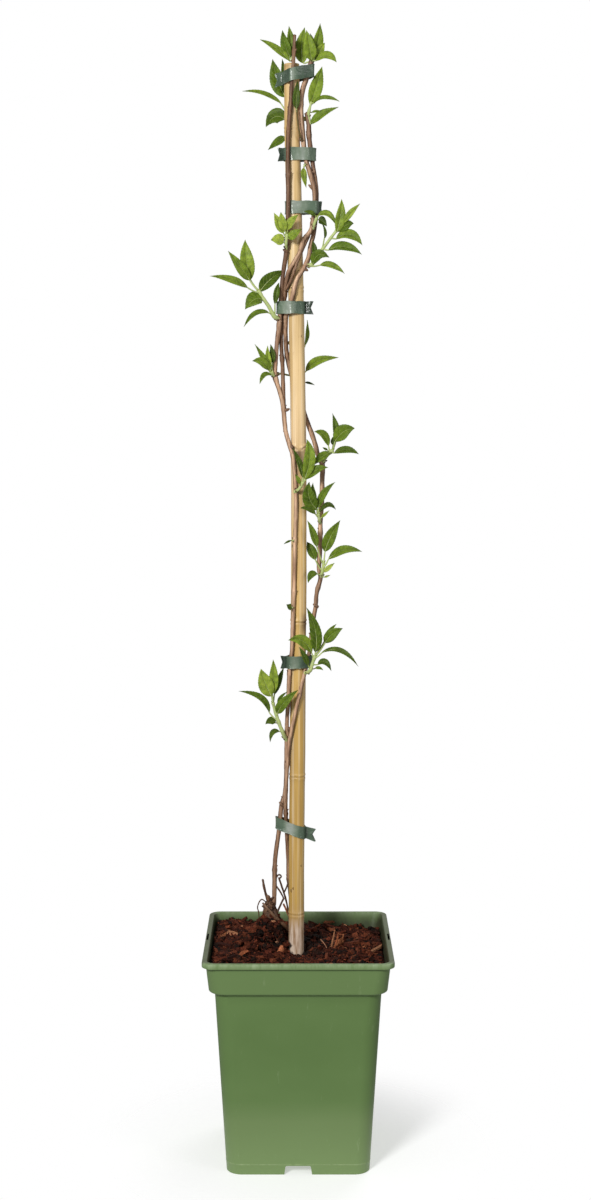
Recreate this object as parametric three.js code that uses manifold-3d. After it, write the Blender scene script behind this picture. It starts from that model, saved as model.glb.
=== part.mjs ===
import * as THREE from 'three';
import { mergeVertices } from 'three/addons/utils/BufferGeometryUtils.js';
import Module from 'manifold-3d';

const wasm = await Module();
wasm.setup();

// Driving sizes, in millimetres. The pot stands on z = 0, its front faces -Y.
const GAP = 0.3;
const SIMPLIFY = 0.1;
const POT = { rim: 170, height: 200, wall: 1.4, base: 129.2, floor: 10.5, floorUnder: 9.2 };
const CANE = { bottom: 69, radius: 7.1, topRadius: 6.8, bore: 2.2, boreDepth: 15 };
const TIE = { width: 11, thickness: 0.7, clearance: 0.45 };
const LEAF = {
  thickness: 0.7, fold: 0.38, petiole: 0.75, shortStalk: 5, edgeOut: 1.04, edgeIn: 0.97, leastFacing: 0.4,
};

// Plant points are read off a front view as [across, down, depth]: across and down in the view's
// own units, 0.9 mm each at the cane, and depth in millimetres, positive away from the front.
const VIEW = { focal: 1829, pitch: 6.2, distance: 1640, height: 689.8, side: -2.4, middle: [295.5, 600] };
const UNIT = VIEW.distance / VIEW.focal;

function at([across, down, depth]) {
  const pitch = THREE.MathUtils.degToRad(VIEW.pitch);
  const drop = (down - VIEW.middle[1]) / VIEW.focal;
  const range = (VIEW.distance + depth) / (Math.cos(pitch) - drop * Math.sin(pitch));
  const x = ((across - VIEW.middle[0]) / VIEW.focal) * range + VIEW.side;
  const z = VIEW.height - range * (Math.sin(pitch) + drop * Math.cos(pitch));
  return new THREE.Vector3(x, depth, z);
}

const MATERIALS = {
  pot: new THREE.MeshStandardMaterial({ color: 0x617c47, roughness: 0.45 }),
  substrate: new THREE.MeshStandardMaterial({ color: 0x3f2117, roughness: 0.95 }),
  cane: new THREE.MeshStandardMaterial({ color: 0xd2aa6e, roughness: 0.5 }),
  wood: new THREE.MeshStandardMaterial({ color: 0x85655a, roughness: 0.8 }),
  tie: new THREE.MeshStandardMaterial({ color: 0x748c76, roughness: 0.35 }),
  leaf: new THREE.MeshStandardMaterial({ color: 0x5f8a2c, roughness: 0.5 }),
};

const group = new THREE.Group();

function solidOf(geometry) {
  const bare = geometry.clone();
  bare.deleteAttribute('normal');
  bare.deleteAttribute('uv');
  const merged = mergeVertices(bare, 1e-4);
  const mesh = new wasm.Mesh({
    numProp: 3,
    vertProperties: new Float32Array(merged.attributes.position.array),
    triVerts: new Uint32Array(merged.index.array),
  });
  mesh.merge();
  return new wasm.Manifold(mesh);
}

function addNode(name, solid, material) {
  const mesh = largest(solid.simplify(SIMPLIFY)).getMesh();
  const geometry = new THREE.BufferGeometry();
  geometry.setAttribute('position', new THREE.BufferAttribute(new Float32Array(mesh.vertProperties), 3));
  geometry.setIndex(new THREE.BufferAttribute(new Uint32Array(mesh.triVerts), 1));
  geometry.computeVertexNormals();
  const node = new THREE.Mesh(geometry, MATERIALS[material]);
  node.name = name;
  group.add(node);
}

// A closed solid from rings of points, all with the same count, capped at both ends.
function loft(rings) {
  const count = rings[0].length;
  const points = rings.flat();
  const faces = [];
  for (let r = 0; r + 1 < rings.length; r++) {
    for (let i = 0; i < count; i++) {
      const a = r * count + i;
      const b = r * count + (i + 1) % count;
      faces.push(a, b, b + count, a, b + count, a + count);
    }
  }
  const last = (rings.length - 1) * count;
  for (let i = 1; i + 1 < count; i++) {
    faces.push(0, i + 1, i);
    faces.push(last, last + i, last + i + 1);
  }
  const geometry = new THREE.BufferGeometry();
  geometry.setAttribute('position', new THREE.Float32BufferAttribute(points.flatMap((p) => p.toArray()), 3));
  geometry.setIndex(faces);
  return solidOf(geometry);
}

// A round stem through points, with a radius at each end or at each point.
function tube(points, radii, sides, grow = 0) {
  const curve = new THREE.CatmullRomCurve3(points, false, 'centripetal');
  const steps = points.length - 1;
  const side = new THREE.Vector3();
  const rings = [];
  for (let i = 0; i <= steps; i++) {
    const tangent = curve.getTangent(i / steps);
    if (i === 0) {
      const helper = Math.abs(tangent.y) > 0.8 ? new THREE.Vector3(1, 0, 0) : new THREE.Vector3(0, 1, 0);
      side.crossVectors(helper, tangent).normalize();
    }
    side.addScaledVector(tangent, -side.dot(tangent)).normalize();
    const up = new THREE.Vector3().crossVectors(tangent, side);
    const span = (i / steps) * (radii.length - 1);
    const low = Math.min(Math.floor(span), radii.length - 2);
    const radius = THREE.MathUtils.lerp(radii[low], radii[low + 1], span - low) + grow;
    const centre = points[i].clone();
    if (i === 0) centre.addScaledVector(tangent, -grow);
    if (i === steps) centre.addScaledVector(tangent, grow);
    const ring = [];
    for (let k = 0; k < sides; k++) {
      const angle = (k / sides) * 2 * Math.PI;
      ring.push(centre.clone()
        .addScaledVector(side, Math.cos(angle) * radius)
        .addScaledVector(up, Math.sin(angle) * radius));
    }
    rings.push(ring);
  }
  return loft(rings);
}

function joined(solids) {
  return wasm.Manifold.union(solids);
}

function largest(solid) {
  return solid.decompose().reduce((best, piece) => (piece.volume() > best.volume() ? piece : best));
}

function boxesMeet(a, b) {
  const p = a.boundingBox();
  const q = b.boundingBox();
  return [0, 1, 2].every((axis) => p.min[axis] < q.max[axis] && q.min[axis] < p.max[axis]);
}

// Pot: one wall followed from the foot up, over the rim and down to the raised floor.
const CORNER_STEPS = 4;

function squareRing(half, corner, z) {
  const ring = [];
  for (let quarter = 0; quarter < 4; quarter++) {
    const turn = quarter * Math.PI / 2;
    const middle = new THREE.Vector2(half - corner, half - corner).rotateAround(new THREE.Vector2(), turn);
    for (let i = 0; i <= CORNER_STEPS; i++) {
      const angle = turn + (i / CORNER_STEPS) * Math.PI / 2;
      ring.push(new THREE.Vector3(middle.x + corner * Math.cos(angle), middle.y + corner * Math.sin(angle), z));
    }
  }
  return ring;
}

const HALF = { rim: POT.rim / 2, collarTop: 81.7, collarFoot: 79.4, step: 74.3, base: POT.base / 2 };
const LEVEL = { lip: 195.2, collarFoot: 173, step: 169.5, top: POT.height };
const FOOT_NOTCH = [[-12.6, -1], [12.6, -1], [11.2, 8.4], [-11.2, 8.4]];
const DRAIN = { count: 8, radius: 5, reach: 38, depth: 8 };
const SLOT = { size: [1.5, 18, 12], reach: 83.1 };

function innerHalf(z) {
  const t = (z - POT.floor) / (LEVEL.step - POT.floor);
  return THREE.MathUtils.lerp(HALF.base + 0.5, HALF.step, t) - POT.wall;
}

function block(size, place) {
  const geometry = new THREE.BoxGeometry(...size);
  geometry.translate(...place);
  return solidOf(geometry);
}

function makePot() {
  const w = POT.wall;
  const wall = loft([
    squareRing(HALF.base - 2.6, 12, POT.floorUnder),
    squareRing(HALF.base - 2.2, 12, 0),
    squareRing(HALF.base, 14, 0),
    squareRing(HALF.step, 15, LEVEL.step),
    squareRing(HALF.collarFoot - 1.2, 15, LEVEL.step + 1.2),
    squareRing(HALF.collarFoot, 14.5, LEVEL.collarFoot),
    squareRing(HALF.collarTop, 12, LEVEL.lip),
    squareRing(HALF.rim - 0.4, 10, LEVEL.lip),
    squareRing(HALF.rim, 10, LEVEL.lip + 0.8),
    squareRing(HALF.rim, 10, LEVEL.top - 0.9),
    squareRing(HALF.rim - 0.9, 9.5, LEVEL.top),
    squareRing(HALF.collarTop - w + 0.8, 9, LEVEL.top),
    squareRing(HALF.collarTop - w, 9, LEVEL.top - 0.9),
    squareRing(HALF.collarFoot - w, 12, LEVEL.collarFoot + 1),
    squareRing(HALF.step - w, 13, LEVEL.step - 1),
    squareRing(innerHalf(POT.floor), 12, POT.floor),
  ]);
  const notch = new THREE.Shape(FOOT_NOTCH.map((p) => new THREE.Vector2(...p)));
  const cuts = [];
  for (let quarter = 0; quarter < 2; quarter++) {
    const geometry = new THREE.ExtrudeGeometry(notch, { depth: POT.rim, bevelEnabled: false });
    geometry.translate(0, 0, -POT.rim / 2);
    geometry.rotateX(Math.PI / 2);
    geometry.rotateZ(quarter * Math.PI / 2);
    cuts.push(solidOf(geometry));
  }
  for (let i = 0; i < DRAIN.count; i++) {
    const hole = new THREE.CylinderGeometry(DRAIN.radius, DRAIN.radius, DRAIN.depth, 8);
    hole.rotateX(Math.PI / 2);
    const angle = ((i + 0.5) / DRAIN.count) * 2 * Math.PI;
    hole.translate(Math.cos(angle) * DRAIN.reach, Math.sin(angle) * DRAIN.reach, POT.floor - 0.6);
    cuts.push(solidOf(hole));
  }
  for (const side of [-1, 1]) {
    cuts.push(block(SLOT.size, [side * SLOT.reach, 0, POT.height - 3]));
  }
  return wall.subtract(joined(cuts));
}

// Substrate: fills the pot to a few millimetres under the rim, higher at the left, with crumbs in relief
// and heaped over the roots of the vine. The heap's rings are [radius, height].
const HEAP = { x: -24, y: -2, sides: 10, rings: [[29, 182], [22.5, 196], [13, 206.5], [4.5, 214.5]] };

function soilHeight(x, y) {
  const lean = 188 - 0.055 * x + 0.015 * y;
  const dip = 3 * Math.exp(-(x * x + y * y) / 420);
  const across = Math.sin(x * 0.31 + 1.3 * Math.sin(y * 0.17));
  const back = Math.cos(y * 0.27 + 0.9 * Math.sin(x * 0.13));
  return lean - dip + 1.1 * across * back;
}

const CHIPS = [
  [-16.5, -17, 10, 4.5, 20], [24, 10, 24, 2, -78], [34, 58, 12, 5, 35], [36, 26, 11, 4, 60],
  [44, 8, 13, 5, 10], [66, -10, 26, 4, -72], [-52, -30, 12, 6, 40], [-60, 30, 14, 5, -30],
  [10, -48, 11, 6, 75], [-30, 58, 13, 6, 15],
];

function makeSubstrate() {
  const fill = squareRing(1, 0.16, 0);
  const rings = [];
  const wallLevels = [POT.floor + GAP, 60, 120, LEVEL.step - 2];
  for (const z of wallLevels) {
    rings.push(squareRing(innerHalf(z) - GAP - 0.15, 12.4, z));
  }
  rings.push(squareRing(HALF.step - POT.wall + 2.6, 12, 178));
  const edge = HALF.collarFoot - POT.wall + 0.4;
  for (const scale of [1, 0.9, 0.76, 0.62, 0.48, 0.34, 0.2, 0.08]) {
    rings.push(fill.map((p) => {
      const x = p.x * edge * scale;
      const y = p.y * edge * scale;
      return new THREE.Vector3(x, y, soilHeight(x, y) - (scale === 1 ? 1.5 : 0));
    }));
  }
  const chips = CHIPS.map(([x, y, length, width, turn]) => {
    const chip = new THREE.BoxGeometry(length, width, 4);
    chip.rotateX(0.12);
    chip.rotateZ(THREE.MathUtils.degToRad(turn));
    chip.translate(x, y, soilHeight(x, y) - 0.3);
    return solidOf(chip);
  });
  const heap = loft(HEAP.rings.map(([radius, z]) => Array.from({ length: HEAP.sides }, (_, i) => {
    const angle = (i / HEAP.sides) * 2 * Math.PI;
    return new THREE.Vector3(HEAP.x + radius * Math.cos(angle), HEAP.y + radius * Math.sin(angle), z);
  })));
  return joined([loft(rings), heap, ...chips]);
}

// Cane: upright bamboo with a slight bow, its nodes and an open end.
const CANE_LINE = [
  [296.1, 953, 0], [296.4, 905, 0], [296.4, 860, 0], [297.5, 755, 0], [297.8, 700, 0], [298.8, 580, 0],
  [298.8, 480, 0], [297.9, 400, 0], [296.4, 320, 0], [294, 200, 0], [292, 130, 0], [291.7, 64, 0],
].map(at);
const CANE_NODES = [915, 777, 622, 452, 288, 128];

function caneAt(z) {
  const line = CANE_LINE;
  let i = 0;
  while (i < line.length - 2 && line[i + 1].z < z) i++;
  const t = (z - line[i].z) / (line[i + 1].z - line[i].z);
  return new THREE.Vector3(THREE.MathUtils.lerp(line[i].x, line[i + 1].x, Math.max(t, 0)), 0, z);
}

function caneRadius(z) {
  const top = CANE_LINE[CANE_LINE.length - 1].z;
  return THREE.MathUtils.mapLinear(z, CANE.bottom, top, CANE.radius, CANE.topRadius);
}

function makeCane(grow = 0) {
  const top = CANE_LINE[CANE_LINE.length - 1].z;
  const stations = [[CANE.bottom, 0]];
  for (const down of CANE_NODES) {
    const z = at([296, down, 0]).z;
    stations.push([z - 2.2, 0], [z - 0.8, 0.6], [z + 0.8, 0.6], [z + 2.2, 0], [z + 60, 0]);
  }
  stations.push([top, 0]);
  const kept = stations.filter(([z]) => z <= top);
  const rings = kept.map(([z, ring]) => {
    const centre = caneAt(z);
    const radius = caneRadius(z) + ring + grow;
    const circle = [];
    for (let k = 0; k < 10; k++) {
      const angle = (k / 10) * 2 * Math.PI;
      circle.push(new THREE.Vector3(centre.x + radius * Math.cos(angle), radius * Math.sin(angle), z));
    }
    return circle;
  });
  if (grow) {
    rings[0].forEach((p) => { p.z -= grow; });
    rings[rings.length - 1].forEach((p) => { p.z += grow; });
    return loft(rings);
  }
  const bore = new THREE.CylinderGeometry(CANE.bore, CANE.bore, CANE.boreDepth * 2, 8);
  bore.rotateX(Math.PI / 2);
  bore.translate(caneAt(top).x, 0, top);
  return loft(rings).subtract(solidOf(bore));
}

// Woody vine: three long stems, a cross branch, the root collar, its twigs and the bud stubs.
const STEM_LEFT = [
  [274, 905, -2], [274.5, 887, -2], [275.1, 860, -2], [279, 830, 0], [281.7, 805, 1.5], [284.4, 796, 1.8],
  [286, 780, 2.3], [286.3, 760, 2.3], [286.6, 742, 1.5], [287, 720, 0], [288, 704, -3.4], [289.5, 670, -5.6],
  [291.8, 650, -7.7], [292.5, 630, -7.9], [293.6, 600, -8.5], [294.8, 560, -8.8], [295, 500, -8.9],
  [293.7, 471, -8.5], [292.5, 455, -7.9], [289.3, 444.6, -5.8], [285.5, 430, -2.8], [282, 400, -2.4],
  [276.3, 381, -3], [274.8, 375, -3], [275.6, 361, -3], [277, 343, -3], [279, 326, -3], [280, 314, -3],
  [281, 298, -3.2], [283, 275, -3.7], [286.4, 250, -6.5], [287.8, 219, -9], [288.2, 190, -9.4],
  [287.8, 160, -9.7], [288, 140, -9.6], [289.2, 117, -9.3], [290.8, 100, -9.2], [291.3, 85, -9.2],
  [293.1, 67, -9.2], [294.7, 35, -9],
];
const STEM_MIDDLE = [
  [285.5, 432, -2.6], [284, 410, -1], [283.2, 389, 0], [282.4, 363, 1], [281.5, 350, 1.2], [281.1, 334, 1.6],
  [281.8, 319.5, 2], [283.2, 306, 1], [284.4, 298, -1], [288.7, 272, -7.2], [294.4, 262, -9.6],
  [300.2, 251.7, -8.8], [303.6, 240, -6.4], [311, 230, -3.8], [314.8, 197, -3.5], [313.7, 187, -3.5],
  [311.7, 179, -3.5], [308.8, 169, -3.5], [305.9, 160, -3.5], [303.6, 144, -3.4], [302.5, 133, -3.4],
  [300.9, 112, -4.5], [300.9, 100, -4.6], [302.6, 90, -3.4], [306, 79.5, -2.4], [309.5, 68, -2],
  [312, 60, -2.4],
];
const STEM_RIGHT = [
  [290, 958, 9.4], [290, 935, 9.3], [291.5, 905, 9.4], [288.9, 879, 7.6], [288.5, 860, 7], [287.8, 850, 6.4],
  [286.7, 830, 4.6], [285.5, 805, -1], [286, 790, -3.2], [287, 770, -4.4], [288.9, 745, -6.3],
  [291.3, 732, -8], [294.4, 717, -9.4], [298, 701.5, -9.5], [301.6, 686, -9.2], [305, 672, -7.6],
  [308, 660, -5.5], [311, 640, -3], [313.9, 616, -2], [315.6, 607, -2], [316.7, 593, -2], [320.6, 577, -1],
  [319, 569, -0.5], [319.6, 556, 0], [320.2, 545, 0], [320.5, 520, 0], [321.8, 500, 0], [322.2, 480, 0],
  [322.2, 465, 0.6], [318, 455, 2], [315.4, 445, 3], [312.2, 435, 4.6], [308.4, 425, 6.8], [301, 403, 9.5],
  [293, 380, 9], [287, 355, 6.2], [285.6, 337, 3], [285.6, 320, 0], [286.6, 313, -3], [289, 306, -6.7],
  [291.8, 299, -8.8], [296.7, 280, -9.3], [304.2, 267.7, -6.5], [308.8, 257, -2.4], [310.5, 246, 0.8],
  [314, 232, 1.4], [316.5, 199, 0.6], [315.7, 184.5, 0.8], [314, 173, 1], [312.5, 162, 1],
  [309.9, 144, 1], [308.9, 134.6, 0.6], [308.6, 123, 0.2], [306.8, 113, 0],
];
const CROSS_BRANCH = [
  [285.6, 291, -4], [290.5, 281, -8.6], [297, 263, -10.4], [303, 249, -8], [309, 236, -3.4],
];
const COLLAR = [
  [[[270.5, 899, -2], [270.5, 905, -2], [270, 914, -1], [271, 926, 0], [272, 944, 2], [273, 962, 2]],
    [3.2, 6.2, 5.4, 4.4, 4]],
  [[[266, 906, -3], [275, 917.6, 0], [282.5, 925.6, 5], [288.5, 931, 9.3]], [2.6, 2.4, 2.4, 2.2]],
  [[[274, 909, -2], [277, 925, -6], [279, 951, -9]], [2.6, 1.8]],
  [[[268, 910, 0], [262, 926, 4], [259, 944, 8]], [2.4, 1.6]],
  [[[268.5, 903, -2], [264.5, 889, -3], [262.7, 879.4, -3]], [1.3, 1]],
  [[[267, 905, -4], [261.5, 899.8, -6], [257.3, 907, -7], [261, 911.8, -6], [258.8, 921, -5]], [0.7, 0.6]],
];
const TWIGS = [
  [[[275, 879, -2.5], [279, 874.6, -3.5], [281.4, 876.4, -4.5], [279, 879, -5]], [0.9, 0.7]],
  [[[278.8, 877.6, -4.8], [283.3, 891, -3], [286, 900, 0], [288.6, 914, 5], [289.6, 930, 8.6]], [0.9, 0.8]],
  [[[275, 884, -3], [281, 893, -3.4], [284, 899, -2]], [0.8, 0.7]],
  [[[289.2, 878.5, 5.6], [286.2, 888, 2], [283.8, 893, -2.4]], [0.7, 0.7]],
  [[[283.8, 898, -2.6], [279.6, 907, -2.6], [276, 916, -2]], [0.9, 0.9]],
];
const BUDS = [
  [[282.8, 806, 1.2], [279.4, 802, -1]], [[291.4, 446, -6], [292.8, 449, -8.5]],
  [[285.4, 410.4, -2.6], [289.6, 408.8, -3.8]], [[287.2, 252, -7], [283, 249.5, -8]],
  [[313.2, 188.6, -3.4], [308.6, 184.8, -3.8]], [[317.4, 607, -2], [313.2, 604, -4]],
  [[304.6, 269, -6.4], [308, 270.6, -6.8]], [[288.4, 731, 1], [289.6, 727, -1]],
  [[276.2, 376, -3.4], [271.8, 376.4, -4.5]], [[281, 318, -3.4], [276, 320.4, -4.6]],
];

function makeWood(grow = 0) {
  const stem = (line, radii, sides = 5) => tube(line.map(at), radii, sides, grow);
  const parts = [
    stem(STEM_LEFT, [2.1, 2.1, 2, 2, 2.3, 2.2, 2.2, 2.1, 2, 1.9, 1.4]),
    stem(STEM_MIDDLE, [1.9, 1.8, 1.9, 2.1, 2.1, 2, 2.3, 2.4, 2.3]),
    stem(STEM_RIGHT, [2.3, 1.9, 1.7, 2, 2.2, 2.1, 2.1, 2, 2.2]),
    stem(CROSS_BRANCH, [1.3, 1.2], 5),
  ];
  for (const [line, radii] of COLLAR) {
    parts.push(stem(line, radii));
  }
  for (const [line, radii] of TWIGS) {
    parts.push(stem(line, radii, 4));
  }
  for (const [root, tip] of BUDS) {
    const middle = [(root[0] + tip[0]) / 2, (root[1] + tip[1]) / 2, tip[2]];
    parts.push(stem([root, middle, tip], [1.7, 1.5, 0.8], 4));
  }
  return joined(parts);
}

// Ties: a band round the cane and the stems named, stretched flat between them, with a stapled tail.
function crossing(line, z) {
  const points = line.map(at);
  for (let i = 0; i + 1 < points.length; i++) {
    const [a, b] = [points[i], points[i + 1]];
    if ((a.z - z) * (b.z - z) <= 0 && a.z !== b.z) {
      return a.clone().lerp(b, (z - a.z) / (b.z - a.z));
    }
  }
  return z > points[0].z ? points[points.length - 1] : points[0];
}

function hull(points) {
  const sorted = [...points].sort((a, b) => a.x - b.x || a.y - b.y);
  const cross = (o, a, b) => (a.x - o.x) * (b.y - o.y) - (a.y - o.y) * (b.x - o.x);
  const half = (list) => {
    const chain = [];
    for (const p of list) {
      while (chain.length > 1 && cross(chain.at(-2), chain.at(-1), p) <= 1e-3) chain.pop();
      chain.push(p);
    }
    chain.pop();
    return chain;
  };
  return [...half(sorted), ...half(sorted.reverse())];
}

function bandOutline(spec, extra) {
  const points = [];
  for (const lift of [-1, -0.5, 0, 0.5, 1]) {
    const z = spec.z + lift * (TIE.width / 2 + 1);
    const members = [[caneAt(z), caneRadius(z) + 0.1]];
    for (const line of spec.stems) {
      const slanted = crossing(line, z);
      const own = crossing(line, z + spec.slope * (slanted.x - caneAt(z).x));
      members.push([own, 2.15]);
    }
    for (const [centre, radius] of members) {
      for (let k = 0; k < 20; k++) {
        const angle = (k / 20) * 2 * Math.PI;
        const reach = (radius + extra) / Math.cos(Math.PI / 20);
        points.push(new THREE.Vector2(centre.x + reach * Math.cos(angle), centre.y + reach * Math.sin(angle)));
      }
    }
  }
  const outline = hull(points);
  const spaced = [outline[0]];
  for (const p of outline) {
    if (p.distanceTo(spaced[spaced.length - 1]) > 0.5 && p.distanceTo(outline[0]) > 0.5) spaced.push(p);
  }
  return spaced;
}

const TIES = [
  { down: 75, slope: 0.24, stems: [STEM_LEFT, STEM_MIDDLE], tail: -1, length: 7 },
  { down: 153.5, slope: 0, stems: [STEM_MIDDLE, STEM_RIGHT], tail: -1, length: 5 },
  { down: 207, slope: 0, stems: [STEM_MIDDLE, STEM_RIGHT], tail: 1, length: 2 },
  { down: 307.4, slope: 0, stems: [STEM_LEFT, STEM_MIDDLE, STEM_RIGHT], tail: 1, length: 7 },
  { down: 662, slope: 0.03, stems: [STEM_LEFT, STEM_RIGHT], tail: -1, length: 5 },
  { down: 831, slope: -0.34, stems: [STEM_LEFT, STEM_RIGHT], tail: 1, length: 9 },
].map((spec) => ({ ...spec, z: at([296, spec.down, -7]).z }));

function makeTie(spec, grow = 0) {
  const outer = bandOutline(spec, TIE.clearance + TIE.thickness + grow);
  const inner = bandOutline(spec, TIE.clearance - grow);
  const height = TIE.width + 2 * grow;
  const prism = (outline, depth) => {
    const geometry = new THREE.ExtrudeGeometry(new THREE.Shape(outline), { depth, bevelEnabled: false });
    geometry.translate(0, 0, spec.z - depth / 2);
    return solidOf(geometry);
  };
  const band = prism(outer, height).subtract(prism(inner, height + 2));
  const end = outer.reduce((best, p) => (p.x * spec.tail > best.x * spec.tail ? p : best));
  const long = spec.length + grow;
  const fishtail = new THREE.Shape([
    [0, 0], [long, -0.8 - grow], [long * 0.7, height * 0.5], [long + 0.6, height + 0.5 + grow], [0, height],
  ].map((p) => new THREE.Vector2(...p)));
  const depth = 2 * (TIE.thickness + grow);
  const tail = new THREE.ExtrudeGeometry(fishtail, { depth, bevelEnabled: false });
  tail.rotateX(Math.PI / 2);
  if (spec.tail < 0) tail.rotateZ(Math.PI);
  const back = spec.tail < 0 ? -depth / 2 : depth / 2;
  tail.translate(end.x - spec.tail * 0.4, end.y + back, spec.z - height / 2);
  const solid = joined([band, solidOf(tail)]);
  const axis = caneAt(spec.z).x;
  return solid.warp((p) => { p[2] += spec.slope * (p[0] - axis); });
}

// Leaves: a petiole, then a blade from its base through a middle point to its tip, folded a little
// along the midrib, with a toothed edge. The outline is an oval with a drawn-out tip.
const OUTLINE = [[0.16, 0.76], [0.36, 1], [0.58, 0.89], [0.8, 0.49], [1, 0.05]];
const NARROW_OUTLINE = [[0.2, 0.85], [0.44, 1], [0.74, 0.62], [1, 0.05]];
const NARROW = 9.5;

function leafFace(base, tip, roll) {
  const rib = tip.clone().sub(base).normalize();
  const front = new THREE.Vector3(0, -1, 0);
  const face = front.addScaledVector(rib, -front.dot(rib)).normalize();
  return face.applyAxisAngle(rib, THREE.MathUtils.degToRad(roll));
}

function leaf(points, width, roll, grow) {
  const [start, base, middle, tip] = points;
  const face = leafFace(base, tip, roll);
  const control = middle.clone().multiplyScalar(2).addScaledVector(base, -0.5).addScaledVector(tip, -0.5);
  const rib = new THREE.QuadraticBezierCurve3(base, control, tip);
  const spread = (width * UNIT) / 2 / Math.max(Math.cos(THREE.MathUtils.degToRad(roll)), LEAF.leastFacing);
  const stalk = { half: LEAF.petiole, raise: 0, thick: LEAF.petiole };
  const stations = [
    { centre: start, along: base.clone().sub(start).normalize(), ...stalk },
    { centre: base, along: rib.getTangent(0), ...stalk },
    ...(width <= NARROW ? NARROW_OUTLINE : OUTLINE).map(([t, part], i) => ({
      centre: rib.getPoint(t),
      along: rib.getTangent(t),
      half: part * spread * (i % 2 ? LEAF.edgeIn : LEAF.edgeOut),
      raise: part * spread * LEAF.fold,
      thick: LEAF.thickness / 2,
    })),
  ];
  if (start.distanceTo(base) < LEAF.shortStalk) {
    stations.splice(1, 1);
  }
  const layers = [[], []];
  for (const { centre, along, half, raise, thick } of stations) {
    const side = new THREE.Vector3().crossVectors(along, face).normalize();
    const up = new THREE.Vector3().crossVectors(side, along);
    for (const edge of [-1, 0, 1]) {
      const p = centre.clone()
        .addScaledVector(side, edge * (half + grow))
        .addScaledVector(up, Math.abs(edge) * raise);
      layers[0].push(p.clone().addScaledVector(up, thick + grow));
      layers[1].push(p.addScaledVector(up, -thick - grow));
    }
  }
  const layer = stations.length * 3;
  const faces = [];
  const wall = (a, b) => faces.push(a, b + layer, b, a, a + layer, b + layer);
  for (let row = 0; row < layer - 3; row += 3) {
    for (const [p, q, r] of [[0, 1, 4], [0, 4, 3], [1, 2, 4], [2, 5, 4]]) {
      faces.push(row + p, row + q, row + r, row + p + layer, row + r + layer, row + q + layer);
    }
    wall(row + 3, row);
    wall(row + 2, row + 5);
  }
  wall(0, 1);
  wall(1, 2);
  wall(layer - 1, layer - 2);
  wall(layer - 2, layer - 3);
  const geometry = new THREE.BufferGeometry();
  const all = layers.flat().flatMap((p) => p.toArray());
  geometry.setAttribute('position', new THREE.Float32BufferAttribute(all, 3));
  geometry.setIndex(faces);
  return solidOf(geometry);
}

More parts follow.
